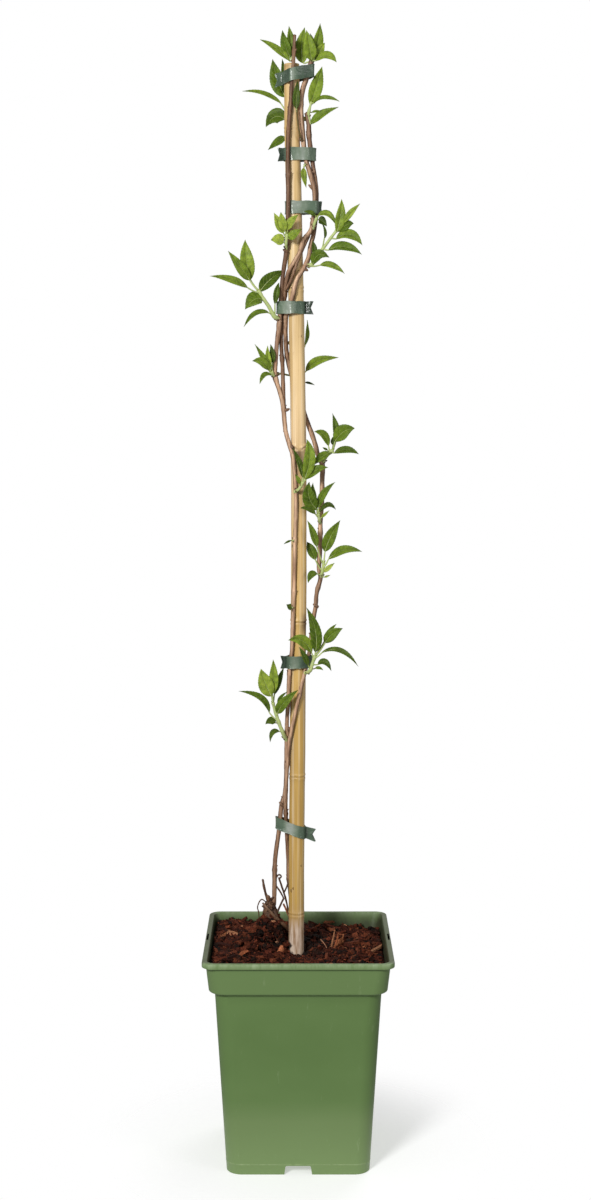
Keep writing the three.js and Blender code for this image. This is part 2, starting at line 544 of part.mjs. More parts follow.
// Each shoot: its young stem from inside the wood outwards, then its leaves as
// [petiole start, blade base, middle, tip, width across as drawn, roll about the midrib in degrees].
const SHOOTS = {
  shoot_top: {
    stem: [[311.6, 62, -2.4], [312.2, 58.6, -4.4], [312.4, 55.6, -4.8]], radius: 1.5,
    leaves: [
      [[311.6, 60.4, -3.6], [303.4, 63, 1.5], [301.5, 47, 4], [304.5, 28.4, 3], 14, -10],
      [[312.2, 57.6, -4.6], [311.4, 60, -6.4], [309.5, 47, -9.5], [306.5, 31, -9], 12.5, 5],
      [[312, 57, -4.6], [311.5, 55, -4.2], [312, 43, -4.6], [310.5, 34.5, -5], 3.5, 65],
      [[312.4, 57, -4.4], [313.2, 56, -2.8], [317.8, 41, 0], [320, 24.3, 1], 10, 22],
      [[312.2, 58.6, -4.2], [315, 60, -4], [319.5, 51.5, -4], [324.2, 43.5, -2], 9, 15],
      [[312.6, 60, -4.6], [316, 60.5, -6], [327, 55.5, -10.5], [336, 61.5, -14], 8.5, -35],
      [[312.3, 57, -4], [312.8, 50, 1.6], [313, 43.5, 3.6], [312.5, 37, 4.4], 5, 0],
    ],
  },
  shoot_top_left: {
    stem: [[293.2, 62.6, -9.1], [292.6, 60.6, -6], [292, 57.6, -4.6]], radius: 1.2,
    leaves: [
      [[292.4, 60, -5.4], [290, 61, -6.5], [276, 48.5, -9], [261, 40, -12], 7, 30],
      [[292.2, 58.8, -5], [290, 57.5, -5.4], [285.3, 45, -7.5], [282.5, 31, -8], 9.5, -10],
      [[292.2, 58.4, -4.8], [291.8, 56, -4.6], [290.8, 42, -5.5], [289, 27, -5], 8.5, 12],
    ],
  },
  shoot_back_left: {
    stem: [[306.9, 117, 0.6], [301, 121, 10.2], [293, 118, 11.4], [287, 111, 10]], radius: 1.2,
    leaves: [
      [[287, 111, 10], [285.5, 97, 11], [277.5, 80, 13], [272.7, 60, 14], 15, -8],
      [[288, 112, 10.4], [286.5, 92, 13.4], [284.5, 76, 15.6], [282.3, 59.6, 15], 7, 15],
      [[287, 111.6, 9.8], [281, 103.5, 8], [264, 93.5, 4], [243.4, 91.2, -2], 5, 30],
      [[288, 113, 10.2], [285, 119.5, 12], [275, 116.5, 13.6], [266.3, 126, 14], 13, 12],
      [[289, 115, 11], [285, 137, 11], [278, 142, 11], [268.7, 149.3, 10], 8, 20],
    ],
  },
  shoot_back_right: {
    stem: [[307.6, 119, 0.2], [309, 111, -2.2], [311.3, 102, -3]], radius: 1.3,
    leaves: [
      [[309.4, 110, -2.4], [310.4, 105, -2.6], [316.4, 86, 1], [321.8, 67.5, 4], 13, 8],
      [[311.3, 102.6, -3], [313.5, 103, -5], [325, 97.5, -10], [338.5, 101, -14], 5, -45],
      [[309, 112, -2], [311.5, 112.3, -3], [316.5, 111.3, -4], [322, 111.3, -5], 2.6, -30],
      [[308.9, 117, -1.4], [310.8, 124, -3.2], [321.5, 115, -7.5], [337.5, 107.4, -12], 8, -30],
    ],
  },
  shoot_inner: {
    stem: [[303.2, 143, -3.4], [300.8, 136, -9.4], [298.4, 122, -10.8], [297.4, 110, -10.8]], radius: 1.2,
    leaves: [
      [[297.5, 112, -10.8], [297.2, 109, -10.8], [297.3, 96, -10.6], [298.5, 81, -10.2], 7, 5],
    ],
  },
  leaf_hanging: {
    stem: [[306.8, 164.5, -3.6], [305, 164.5, -6], [304, 167, -7.4]], radius: 0.8,
    leaves: [
      [[304, 166.6, -7.2], [303.8, 168, -7.6], [303.8, 176, -8], [306, 187, -7], 6, -20],
    ],
  },
  shoot_02: {
    stem: [[286.4, 250, -6.6], [286, 244, -12], [287, 234, -14]], radius: 1.3,
    leaves: [
      [[286.6, 238, -13.4], [283.5, 233, -14], [279, 224, -15], [274.4, 213.8, -15], 9, 20],
      [[287, 235, -14], [285, 231, -15], [282.4, 222, -16.4], [281, 213, -15], 8, -10],
      [[286, 243, -12.4], [283.6, 242.6, -14], [278, 239.5, -16.6], [271.5, 240, -16], 11, 15],
      [[287, 235, -14], [287.5, 230, -15], [291, 221.5, -16.6], [297.5, 215.3, -16.6], 7.5, -20],
      [[286.8, 239, -13.6], [288.6, 238.5, -14.4], [294, 234.5, -16], [301, 229.3, -16.4], 9, -25],
    ],
  },
  shoot_03: {
    stem: [[312.6, 229, -3.6], [315, 222, -7], [317, 217, -8.4]], radius: 1.4,
    leaves: [
      [[317, 217.5, -8.4], [318.5, 215.5, -9.2], [328, 214, -11], [337, 226, -14], 6, -38],
      [[316, 220, -8], [318.5, 219.5, -7.6], [322, 221, -8], [326.5, 226, -9], 8, -20],
      [[316.6, 217.6, -8.6], [315.5, 215.5, -10.6], [310.5, 212.5, -12], [304.8, 211.3, -12.6], 4.5, 30],
    ],
  },
  shoot_04: {
    stem: [[305.8, 265, -5.4], [311, 265, -6.4], [316, 258, -8], [322.7, 249, -9], [331, 237.6, -10.2],
      [337, 230, -11]],
    radius: 1.6,
    leaves: [
      [[336.6, 230.4, -11], [337, 232, -12], [340.5, 216, -14.6], [341.6, 200, -13], 9.5, 12],
      [[337, 229.6, -11], [343.5, 223, -13.6], [351, 213, -16], [359.3, 204.3, -15], 6, -15],
      [[336.6, 230, -10.8], [339, 231.5, -12], [346, 225, -13.6], [352.8, 223.5, -13], 10, -12],
      [[331, 238, -10.2], [336.5, 238.6, -11.5], [350, 234.4, -17.5], [361.8, 244.5, -21], 10.5, -34],
      [[323, 249, -9], [328.8, 249.8, -11], [344.5, 246.6, -19.5], [361, 254, -25], 9.5, -32],
      [[312.6, 264.6, -7], [313, 264.5, -9], [318.5, 254.5, -12.6], [328.6, 257, -15], 10.5, -12],
      [[312.6, 263, -5.6], [314.3, 256, -4], [314.3, 248, -2.8], [312.6, 241, -1.4], 5, 10],
      [[309.4, 266, -6], [320.3, 265, -11], [332, 265.4, -15], [343.8, 273, -19], 6.5, -35],
      [[321.6, 250.6, -8.4], [324.4, 238.5, -6.4], [325, 231, -6], [322, 223.6, -5.4], 2.8, 30],
    ],
  },
  shoot_05: {
    stem: [[279.6, 319, -3.2], [274.5, 316.5, -7], [268.8, 306.5, -10], [263.7, 299, -12],
      [258.4, 290.6, -13]],
    radius: 1.9,
    leaves: [
      [[258.4, 290.6, -13], [251.5, 279.5, -14], [248, 260, -17], [245.2, 240.5, -14], 12, 12],
      [[258.2, 290.6, -13], [249.5, 280, -17], [241.4, 267, -22], [228.6, 251.6, -23], 12, 10],
      [[259.6, 293, -13], [247.4, 287.4, -19], [231, 279.6, -27], [210.9, 276.2, -33], 7.5, 25],
      [[261, 294.4, -12.4], [260, 291.5, -12], [270.5, 279, -5.5], [284, 271, 1], 12.5, -15],
      [[264, 300, -12.2], [262.5, 299.5, -13], [254, 299.5, -18], [245.6, 308.6, -20], 12, 28],
      [[274.8, 316.6, -7], [275, 304, -9.4], [276.5, 292, -10.4], [278.6, 283.4, -8.6], 6, 20],
      [[272.6, 313.6, -8.4], [268.5, 312.6, -12], [255.5, 313.6, -16], [244.4, 326, -20], 5.5, 38],
    ],
  },
  shoot_06: {
    stem: [[274.8, 377, -3.2], [273, 374.6, -6.2], [271.2, 371.6, -8.2]], radius: 1.4,
    leaves: [
      [[271.2, 371.6, -8.2], [270.5, 370.5, -9.4], [264.5, 359, -11.4], [255.2, 344.8, -11], 6.4, 20],
      [[271.2, 371.4, -8.2], [270.6, 369.5, -9], [268, 358, -10], [267.6, 346.4, -9.4], 5.5, 5],
      [[271.8, 372, -7.6], [272.6, 363, -6.8], [272.4, 354, -6.2], [270.8, 345, -5.4], 6, -10],
      [[271, 371.8, -8.2], [268.5, 370, -10.4], [262.5, 361.8, -14], [253.1, 360.8, -16], 8.5, 20],
      [[272.6, 374, -6.8], [271, 375, -8.6], [264.4, 375, -13], [259.9, 383.4, -16], 5, 32],
    ],
  },
  leaf_behind_cane: {
    stem: [[275.6, 374.6, -2.4], [279.6, 373.6, 3], [284, 374.2, 7], [288.5, 375.2, 11.8],
      [294.5, 375.8, 13], [300.5, 374.8, 12.6], [305, 371.8, 10.2]],
    radius: 0.9,
    leaves: [
      [[304.6, 372.2, 10.4], [306, 371, 9.6], [318.5, 361, 5], [337.8, 357.6, 0], 8.5, -20],
      [[301, 375, 12.4], [305, 382.4, 11.6], [309.5, 383, 10], [314.5, 385, 9], 2.4, -10],
    ],
  },
  leaf_beside_cane: {
    stem: [[286.4, 343, 4.4], [291, 343, 11.4], [299, 345, 11.6], [304.6, 347, 8.6]], radius: 0.8,
    leaves: [
      [[304.3, 346.8, 8.8], [305.2, 345, 7.6], [306.6, 334, 6.2], [307.2, 321, 5], 4, 65],
    ],
  },
  shoot_08: {
    stem: [[322.2, 463, 0.7], [327, 456, -2.4], [332.6, 450.4, -4]], radius: 1.4,
    leaves: [
      [[332.4, 450.6, -4], [336, 441, -4.8], [336, 428, -6], [332.7, 414.3, -4], 7, 20],
      [[332.6, 450.4, -4], [335, 441.5, -7.4], [343.5, 431.5, -11.4], [353.8, 428.3, -13], 14, -12],
      [[330, 452.6, -3.6], [328.5, 445.6, -5.6], [323.5, 434.5, -9], [315, 431.6, -11.4], 7.5, 25],
      [[331.6, 451.6, -4], [334.6, 453, -7.6], [346.5, 449.8, -13], [358.2, 453.8, -17.4], 7, -32],
      [[331.4, 451.6, -3.8], [330, 452.4, -8], [321.5, 457, -11], [312.8, 465.2, -13], 7.5, 35],
      [[332, 451, -3.8], [333, 445, -3], [332.8, 440.5, -2], [334.4, 435.8, -1], 4, 0],
      [[329.5, 453, -3.4], [327.5, 449.8, -4.6], [325.2, 448.8, -5.4], [322.6, 447.4, -6], 2.4, 0],
    ],
  },
  shoot_09: {
    stem: [[294.6, 492, -9], [299, 489, -13], [303, 482, -14.4]], radius: 1.5,
    leaves: [
      [[303.2, 482.2, -14.4], [304.6, 479, -15.4], [309.8, 457.5, -18], [307, 440, -16], 11.5, 8],
      [[302.6, 483, -14.4], [302.8, 477.6, -16.4], [299.4, 463, -19.6], [293, 448.6, -20], 5.5, 25],
      [[303.4, 482, -14.2], [306.4, 479, -15], [315.5, 470.4, -16.4], [327.2, 467.4, -17], 8.5, -32],
      [[300.8, 487, -14], [300, 484, -15.4], [298, 479, -16.6], [295.2, 474.6, -17.4], 4, 20],
    ],
  },
  shoot_10: {
    stem: [[320.5, 524, 0], [319.4, 520, -5], [318, 514, -7]], radius: 1.3,
    leaves: [
      [[318, 514, -7], [317, 509.5, -9], [308.8, 497, -14.6], [309, 482.8, -16], 13.5, 10],
      [[318.2, 513.6, -7], [318.5, 508, -8.6], [323.5, 494, -10.6], [334.6, 482.6, -12.6], 7.5, -15],
      [[319, 518, -5.8], [315.5, 514, -9.6], [308.5, 508.8, -13.4], [301, 508, -16.4], 5, 30],
      [[318.4, 515.4, -6.8], [319.6, 512, -8.6], [328, 504.6, -12], [335.4, 509, -15], 5, -32],
      [[319.4, 519.6, -5.2], [321.5, 517.4, -6.4], [325, 514.4, -7.4], [329, 510.8, -8.4], 2.8, -20],
      [[318.1, 513.8, -7], [315.8, 505, -8.6], [312.4, 494, -10], [312.8, 483.6, -11], 6, 30],
    ],
  },
  shoot_11: {
    stem: [[320.8, 577.6, -1.2], [322.6, 571, -5], [323.5, 563, -6]], radius: 1.4,
    leaves: [
      [[323.5, 563.6, -6], [325, 551.5, -7.6], [330.5, 536.5, -11], [339.7, 521, -13], 11.5, -10],
      [[323.3, 564.6, -6], [316.8, 546.5, -9], [313.2, 534, -12], [307.8, 521.4, -13], 7, 18],
      [[322.4, 571.6, -5], [315.5, 560, -4], [311.5, 550, 3], [307.4, 542.6, 6.4], 9, 12],
      [[323.2, 568, -5.4], [328.6, 559, -9.4], [344, 549.8, -17], [361.2, 551.4, -23], 8.5, -28],
      [[322.2, 574.6, -4.2], [323.4, 572, -7], [328.6, 567.8, -9], [334, 563.4, -10.4], 4.6, -25],
      [[321.8, 576.4, -3], [324.4, 577, -5], [327, 576.4, -6.4], [330, 575.2, -7], 2, -30],
      [[321.6, 575, -3.8], [317, 573.6, -6.4], [311.6, 575, -9.4], [308.2, 582.4, -11.4], 6.5, 35],
    ],
  },
  shoot_13: {
    stem: [[304.8, 673, -7.8], [309.6, 671, -12.6], [313, 662, -14.4], [315, 656, -15.4]], radius: 1.7,
    leaves: [
      [[314.8, 656.6, -15.4], [315.4, 652, -16.4], [315.5, 631, -21.4], [307, 608.4, -21.4], 13, 6],
      [[314, 658.6, -15], [311.6, 652.5, -18], [302, 640.6, -24.4], [289, 640, -29.4], 10.5, 25],
      [[314.8, 656.6, -15.4], [325, 643, -16.4], [332, 634, -18.4], [342, 628.6, -20.4], 11, -12],
      [[315, 655.6, -15], [324.4, 641, -13.6], [329, 632, -12], [336, 624.4, -10], 5, -10],
      [[314.2, 658.6, -14.8], [322, 652.5, -18], [341, 650.6, -26.4], [357.8, 666, -33.4], 4.6, -40],
      [[312.4, 664.4, -13.8], [318, 664.4, -16], [325, 662, -19], [331, 670.4, -21], 5.6, -36],
      [[310.6, 669, -13], [315, 668.4, -14.4], [319, 667.8, -15.4], [323, 670, -16.4], 3, -30],
      [[310.8, 669.4, -13.2], [308.4, 665.5, -16], [304.6, 656.5, -18.4], [299.6, 647.8, -18], 5.6, 20],
    ],
  },
  shoot_14: {
    stem: [[286.8, 741, 1.6], [283, 733, -3.6], [278.8, 722.5, -6], [275.6, 712.5, -7], [273, 703, -8]],
    radius: 1.8,
    leaves: [
      [[272.8, 702, -8], [271.4, 696, -10], [265, 682.5, -14], [261.2, 669.8, -15], 15, 12],
      [[272.9, 702, -8], [272.4, 694, -9.4], [273.6, 677, -10.6], [273.2, 660.3, -9], 9.5, 5],
      [[273.2, 703, -7.8], [274.4, 694.5, -5.4], [278.8, 681, -1.4], [283.6, 667.6, 1], 6.5, -12],
      [[278, 721.5, -6.4], [269.2, 712, -11.4], [260.5, 697.4, -17], [239.4, 691.2, -22], 6, 28],
      [[276, 715.5, -7], [277.6, 713.6, -10], [283.6, 703, -14.6], [297.5, 690.4, -17], 9.5, -20],
      [[275.4, 711.5, -7.2], [278.6, 705, -11.5], [280.5, 698, -13], [287, 692, -14], 3.4, -30],
      [[278.6, 722.6, -6.2], [275.4, 722.8, -8.6], [270.6, 720.8, -11], [265.8, 723.8, -13], 7.5, 22],
      [[282, 731, -4.6], [279.4, 731.4, -6.6], [272.6, 732.4, -10], [270.2, 741.6, -12], 5, 32],
    ],
  },
  leaf_15: {
    stem: [[293.4, 608, -8.4], [292.6, 607.6, -10.4], [291.6, 607.2, -11.6]], radius: 0.8,
    leaves: [
      [[291.8, 607.3, -11.4], [291.4, 607, -12], [289.4, 606.6, -13], [286.6, 604.6, -14], 6, 25],
    ],
  },
  leaf_16: {
    stem: [[294.6, 541, -8.8], [293.4, 540.6, -10.8], [292, 540.4, -12]], radius: 0.7,
    leaves: [
      [[292.2, 540.4, -11.8], [291.6, 540.4, -12.2], [287.4, 541, -13], [283.4, 544, -14], 3.5, 55],
    ],
  },
};

function makeShoot({ stem, radius, leaves }, grow = 0) {
  const parts = [tube(stem.map(at), [radius, radius * 0.7], 5, grow)];
  for (const [start, base, middle, tip, width, roll] of leaves) {
    parts.push(leaf([start, base, middle, tip].map(at), width, roll, grow));
  }
  return joined(parts);
}

// Nodes: what stands in the substrate cuts its own hole, and each shoot keeps clear of its neighbours.
addNode('pot', makePot(), 'pot');
const blockers = [makeCane(GAP), makeWood(GAP)];
addNode('substrate', largest(makeSubstrate().subtract(joined(blockers))), 'substrate');
addNode('cane', makeCane(), 'cane');
addNode('woody_vine', largest(makeWood().subtract(blockers[0])), 'wood');
TIES.forEach((spec, i) => {
  addNode(`tie_${i + 1}`, largest(makeTie(spec).subtract(joined(blockers.slice(0, 2)))), 'tie');
  blockers.push(makeTie(spec, GAP));
});
for (const [name, spec] of Object.entries(SHOOTS)) {
  const whole = makeShoot(spec);
  const near = blockers.filter((other) => boxesMeet(other, whole));
  addNode(name, largest(whole.subtract(joined(near))), 'leaf');
  blockers.push(makeShoot(spec, GAP));
}

export default group;
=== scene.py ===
import math

import bpy
import numpy as np
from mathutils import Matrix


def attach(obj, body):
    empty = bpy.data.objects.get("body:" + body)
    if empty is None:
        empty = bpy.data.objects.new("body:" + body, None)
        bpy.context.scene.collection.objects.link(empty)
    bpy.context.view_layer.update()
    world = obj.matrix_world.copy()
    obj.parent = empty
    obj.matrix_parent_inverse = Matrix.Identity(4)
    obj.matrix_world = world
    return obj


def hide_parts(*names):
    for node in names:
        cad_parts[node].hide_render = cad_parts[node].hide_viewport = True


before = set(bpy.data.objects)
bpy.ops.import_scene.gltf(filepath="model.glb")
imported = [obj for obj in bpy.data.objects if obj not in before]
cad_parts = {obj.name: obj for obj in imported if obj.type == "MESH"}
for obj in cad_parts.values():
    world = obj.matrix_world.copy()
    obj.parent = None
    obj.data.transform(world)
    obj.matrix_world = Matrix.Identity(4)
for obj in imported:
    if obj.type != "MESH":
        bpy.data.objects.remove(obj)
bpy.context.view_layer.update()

MM = 0.001
TURN = 2 * math.pi
# The range of a drawn angle
ROUND = (0, 6.28)
GREY = (0.5, 0.5, 0.5)

# Plant points are read off a front view as [across, down, depth]: across and down in the view's own
# units, 0.9 mm each at the cane, and depth in millimetres, positive away from the front.
VIEW = {"focal": 1829, "pitch": math.radians(6.2), "distance": 1640, "height": 689.8, "side": -2.4}
VIEW_MIDDLE = (295.5, 600)
VIEW_TALL = 1200
UNIT = VIEW["distance"] / VIEW["focal"]

# Sizes in millimetres
POT = {"rim": 170, "height": 200, "wall": 1.4, "base": 129.2, "floor": 10.5, "floor_under": 9.2}
HALF = {"rim": POT["rim"] / 2, "collar_top": 81.7, "collar_foot": 79.4, "step": 74.3, "base": POT["base"] / 2}
LEVEL = {"lip": 195.2, "collar_foot": 173, "step": 169.5}
SLOT = {"width": 1.7, "length": 20, "reach": 83.1, "floor": 196}
FOOT_NOTCH = [(-12.6, -1), (12.6, -1), (11.4, 7.6), (10.6, 8.4), (-10.6, 8.4), (-11.4, 7.6)]
FOOT_SEAM = 9.7
DRAIN = {"count": 8, "radius": 5, "reach": 38, "low": 5, "high": 15}
CANE = {"bottom": 69, "radius": 7.1, "top_radius": 6.8, "bore": 2.2}
TIE = {"width": 11, "clearance": 0.75, "thickness": 0.3, "tail_thickness": 0.24, "steps": 132}
LEAF = {"thickness": 0.16, "fold": 0.42, "petiole": 0.72, "point": 0.9}
# The side veins of a blade: how many pairs, and how they bend back towards its edge
VEINS = {"pairs": 7.5, "bend": 0.2, "power": 1.2}


def at(point):
    """A front-view point as x, y, z in millimetres."""
    across, down, depth = point
    drop = (down - VIEW_MIDDLE[1]) / VIEW["focal"]
    reach = (VIEW["distance"] + depth) / (math.cos(VIEW["pitch"]) - drop * math.sin(VIEW["pitch"]))
    x = (across - VIEW_MIDDLE[0]) / VIEW["focal"] * reach + VIEW["side"]
    z = VIEW["height"] - reach * (math.sin(VIEW["pitch"]) + drop * math.cos(VIEW["pitch"]))
    return np.array([x, depth, z])


def unit(v):
    return v / max(np.linalg.norm(v), 1e-9)


def unit_rows(rows):
    return rows / np.linalg.norm(rows, axis=1, keepdims=True)


def bell(x, width, power=2):
    """1 at x = 0, and lower away from it."""
    return np.exp(-(x / width) ** power)


def circle(count):
    """The angles of even steps round."""
    return np.arange(count) / count * TURN


def run_along(points):
    """How far along the points each one lies."""
    return np.concatenate([[0], np.cumsum(np.linalg.norm(np.diff(points, axis=0), axis=1))])


def wander(x, seed, waves=5, base=1.0):
    """Smooth repeatable noise of one variable, about -1 to 1."""
    rng = np.random.default_rng(seed)
    x = np.asarray(x, float)
    total = np.zeros_like(x)
    for k in range(waves):
        total += np.sin(x * base * 1.7 ** k + rng.uniform(*ROUND)) / 1.35 ** k
    return total / 2.2


def curve_points(points, step):
    """A centripetal Catmull-Rom curve through points, with a sample about every step, and where on the
    list of points each sample lies, from 0 to 1."""
    pts = [np.asarray(p, float) for p in points]
    pts = [2 * pts[0] - pts[1]] + pts + [2 * pts[-1] - pts[-2]]
    out, where = [], []
    spans = len(pts) - 3
    for i in range(spans):
        p0, p1, p2, p3 = pts[i:i + 4]
        d0, d1, d2 = (max(np.linalg.norm(b - a) ** 0.5, 1e-4) for a, b in ((p0, p1), (p1, p2), (p2, p3)))
        m1 = ((p1 - p0) / d0 - (p2 - p0) / (d0 + d1) + (p2 - p1) / d1) * d1
        m2 = ((p2 - p1) / d1 - (p3 - p1) / (d1 + d2) + (p3 - p2) / d2) * d1
        count = max(1, int(round(np.linalg.norm(p2 - p1) / step)))
        for k in range(count):
            t = k / count
            bend = (3 * (p2 - p1) - 2 * m1 - m2) * t * t + (2 * (p1 - p2) + m1 + m2) * t ** 3
            out.append(p1 + m1 * t + bend)
            where.append((i + t) / spans)
    out.append(pts[-2])
    where.append(1.0)
    return np.array(out), np.array(where)


class Soup:
    """Gathers points and faces, with a UV and a tint for each point, into one mesh."""

    def __init__(self):
        self.points, self.uvs, self.tints = [], [], []
        self.corners, self.sizes, self.slots = [], [], []
        self.count = 0

    def add(self, points, faces, uv=None, tint=GREY, slot=0):
        """Adds points and their faces, which all have the same number of corners, and gives the number of
        the first point."""
        points = np.asarray(points, float).reshape(-1, 3)
        first, n = self.count, len(points)
        self.points.append(points)
        self.uvs.append(np.zeros((n, 2)) if uv is None else np.asarray(uv, float).reshape(-1, 2))
        tint = np.asarray(tint, float)
        self.tints.append(np.broadcast_to(tint, (n, 3)) if tint.ndim == 1 else tint.reshape(-1, 3))
        self.count += n
        self.add_faces(np.asarray(faces, int) + first, slot)
        return first

    def add_faces(self, faces, slot=0):
        self.corners.append(faces.ravel())
        self.sizes.append(np.full(len(faces), faces.shape[1]))
        self.slots.append(np.full(len(faces), slot))

    def object(self, name, materials=()):
        points = np.concatenate(self.points) * MM
        corners = np.concatenate(self.corners)
        sizes = np.concatenate(self.sizes)
        mesh = bpy.data.meshes.new(name)
        mesh.vertices.add(len(points))
        mesh.vertices.foreach_set("co", points.ravel())
        mesh.loops.add(len(corners))
        mesh.loops.foreach_set("vertex_index", corners)
        mesh.polygons.add(len(sizes))
        mesh.polygons.foreach_set("loop_start", np.concatenate([[0], np.cumsum(sizes)[:-1]]))
        mesh.update(calc_edges=True)
        mesh.polygons.foreach_set("material_index", np.concatenate(self.slots))
        layer = mesh.uv_layers.new(name="span")
        layer.data.foreach_set("uv", np.concatenate(self.uvs)[corners].ravel())
        tint = mesh.attributes.new("tint", "FLOAT_COLOR", "POINT")
        rgba = np.concatenate([np.concatenate(self.tints), np.ones((len(points), 1))], axis=1)
        tint.data.foreach_set("color", rgba.ravel())
        for material in materials:
            mesh.materials.append(material)
        mesh.shade_smooth()
        made = bpy.data.objects.new(name, mesh)
        bpy.context.scene.collection.objects.link(made)
        return made

    def build(self, name, replaced, materials, sharp=None):
        """A piece that stands for a node of the frame. Its edges are sharp above an angle in degrees."""
        piece = self.object(name, [MATERIALS[key] for key in materials])
        if sharp is not None:
            piece.data.set_sharp_from_angle(angle=math.radians(sharp))
        piece.data.validate()
        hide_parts(replaced)
        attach(piece, "root")
        return piece


def ring_faces(rows, columns):
    """Quads between closed rings of points."""
    i, j = np.meshgrid(np.arange(rows - 1), np.arange(columns), indexing="ij")
    a = (i * columns + j).ravel()
    b = (i * columns + (j + 1) % columns).ravel()
    return np.stack([a, b, b + columns, a + columns], axis=1)


def sheet_faces(rows, columns, closed=False):
    """Quads of a sheet with two sides and joined edges. The lower side's points follow the upper side's,
    and closed joins the last row to the first."""
    n = rows * columns
    grid = np.arange(n).reshape(rows, columns)
    if closed:
        grid = np.concatenate([grid, grid[:1]])
        rims = [grid[:, 0], grid[::-1, -1]]
    else:
        rims = [np.concatenate([grid[:, 0], grid[-1, 1:], grid[-2::-1, -1], grid[0, -2::-1]])]
    top = np.stack([grid[:-1, :-1], grid[:-1, 1:], grid[1:, 1:], grid[1:, :-1]], axis=-1).reshape(-1, 4)
    edges = [np.stack([rim[:-1], rim[1:], rim[1:] + n, rim[:-1] + n], axis=1) for rim in rims]
    return np.concatenate([top, top[:, ::-1] + n, *edges])


def tube(soup, points, radii, sides, tint=GREY, slot=0, lumps=0.0, seed=0, flat=1.0):
    """A closed round stem through points, its radius given at each one. The tint is one colour, one for
    each point, or a function of the length along and the direction out."""
    points = np.asarray(points, float)
    n = len(points)
    radii = np.broadcast_to(np.asarray(radii, float), n)
    tangents = np.gradient(points, axis=0)
    tangents /= np.maximum(np.linalg.norm(tangents, axis=1, keepdims=True), 1e-9)
    helper = np.array([1.0, 0, 0]) if abs(tangents[0][1]) > 0.8 else np.array([0, 1.0, 0])
    side = unit(np.cross(helper, tangents[0]))
    angles = circle(sides)
    length = run_along(points)
    rings = np.zeros((n, sides, 3))
    normals = np.zeros((n, sides, 3))
    for i in range(n):
        side = unit(side - tangents[i] * side.dot(tangents[i]))
        up = np.cross(tangents[i], side)
        reach = radii[i] * (1 + lumps * wander(angles * 2 + length[i] * 0.5, seed + 7, 3))
        normals[i] = np.outer(np.cos(angles), side) + np.outer(np.sin(angles), up)
        rings[i] = points[i] + np.outer(np.cos(angles) * reach, side)
        rings[i] += np.outer(np.sin(angles) * reach * flat, up)
    ends = np.array([points[0] - tangents[0] * radii[0] * 0.3, points[-1] + tangents[-1] * radii[-1] * 0.5])
    uv = np.stack([np.repeat(length, sides), np.tile(np.arange(sides) / sides, n)], axis=1)
    uv = np.concatenate([uv, [[0, 0.5], [length[-1], 0.5]]])
    if callable(tint):
        around = tint(length[:, None], normals).reshape(-1, 3)
        tint = np.concatenate([around, around[:1], around[-1:]])
    tint = np.asarray(tint, float)
    if tint.shape == (n, 3):
        tint = np.concatenate([np.repeat(tint, sides, axis=0), tint[:1], tint[-1:]])
    first = soup.add(np.concatenate([rings.reshape(-1, 3), ends]), ring_faces(n, sides), uv, tint, slot)
    k = np.arange(sides)
    after, last = (k + 1) % sides, (n - 1) * sides
    start = np.stack([np.full(sides, n * sides), after, k], axis=1)
    end = np.stack([np.full(sides, n * sides + 1), last + k, last + after], axis=1)
    soup.add_faces(np.concatenate([start, end]) + first, slot)


# Materials
def fill(tree, made, inputs):
    """Links or sets a node's inputs."""
    for key, value in dict(inputs).items():
        if isinstance(value, bpy.types.NodeSocket):
            tree.links.new(value, made.inputs[key])
        else:
            made.inputs[key].default_value = value


def node(tree, kind, inputs=(), **settings):
    made = tree.nodes.new(kind)
    for key, value in settings.items():
        setattr(made, key, value)
    fill(tree, made, inputs)
    return made


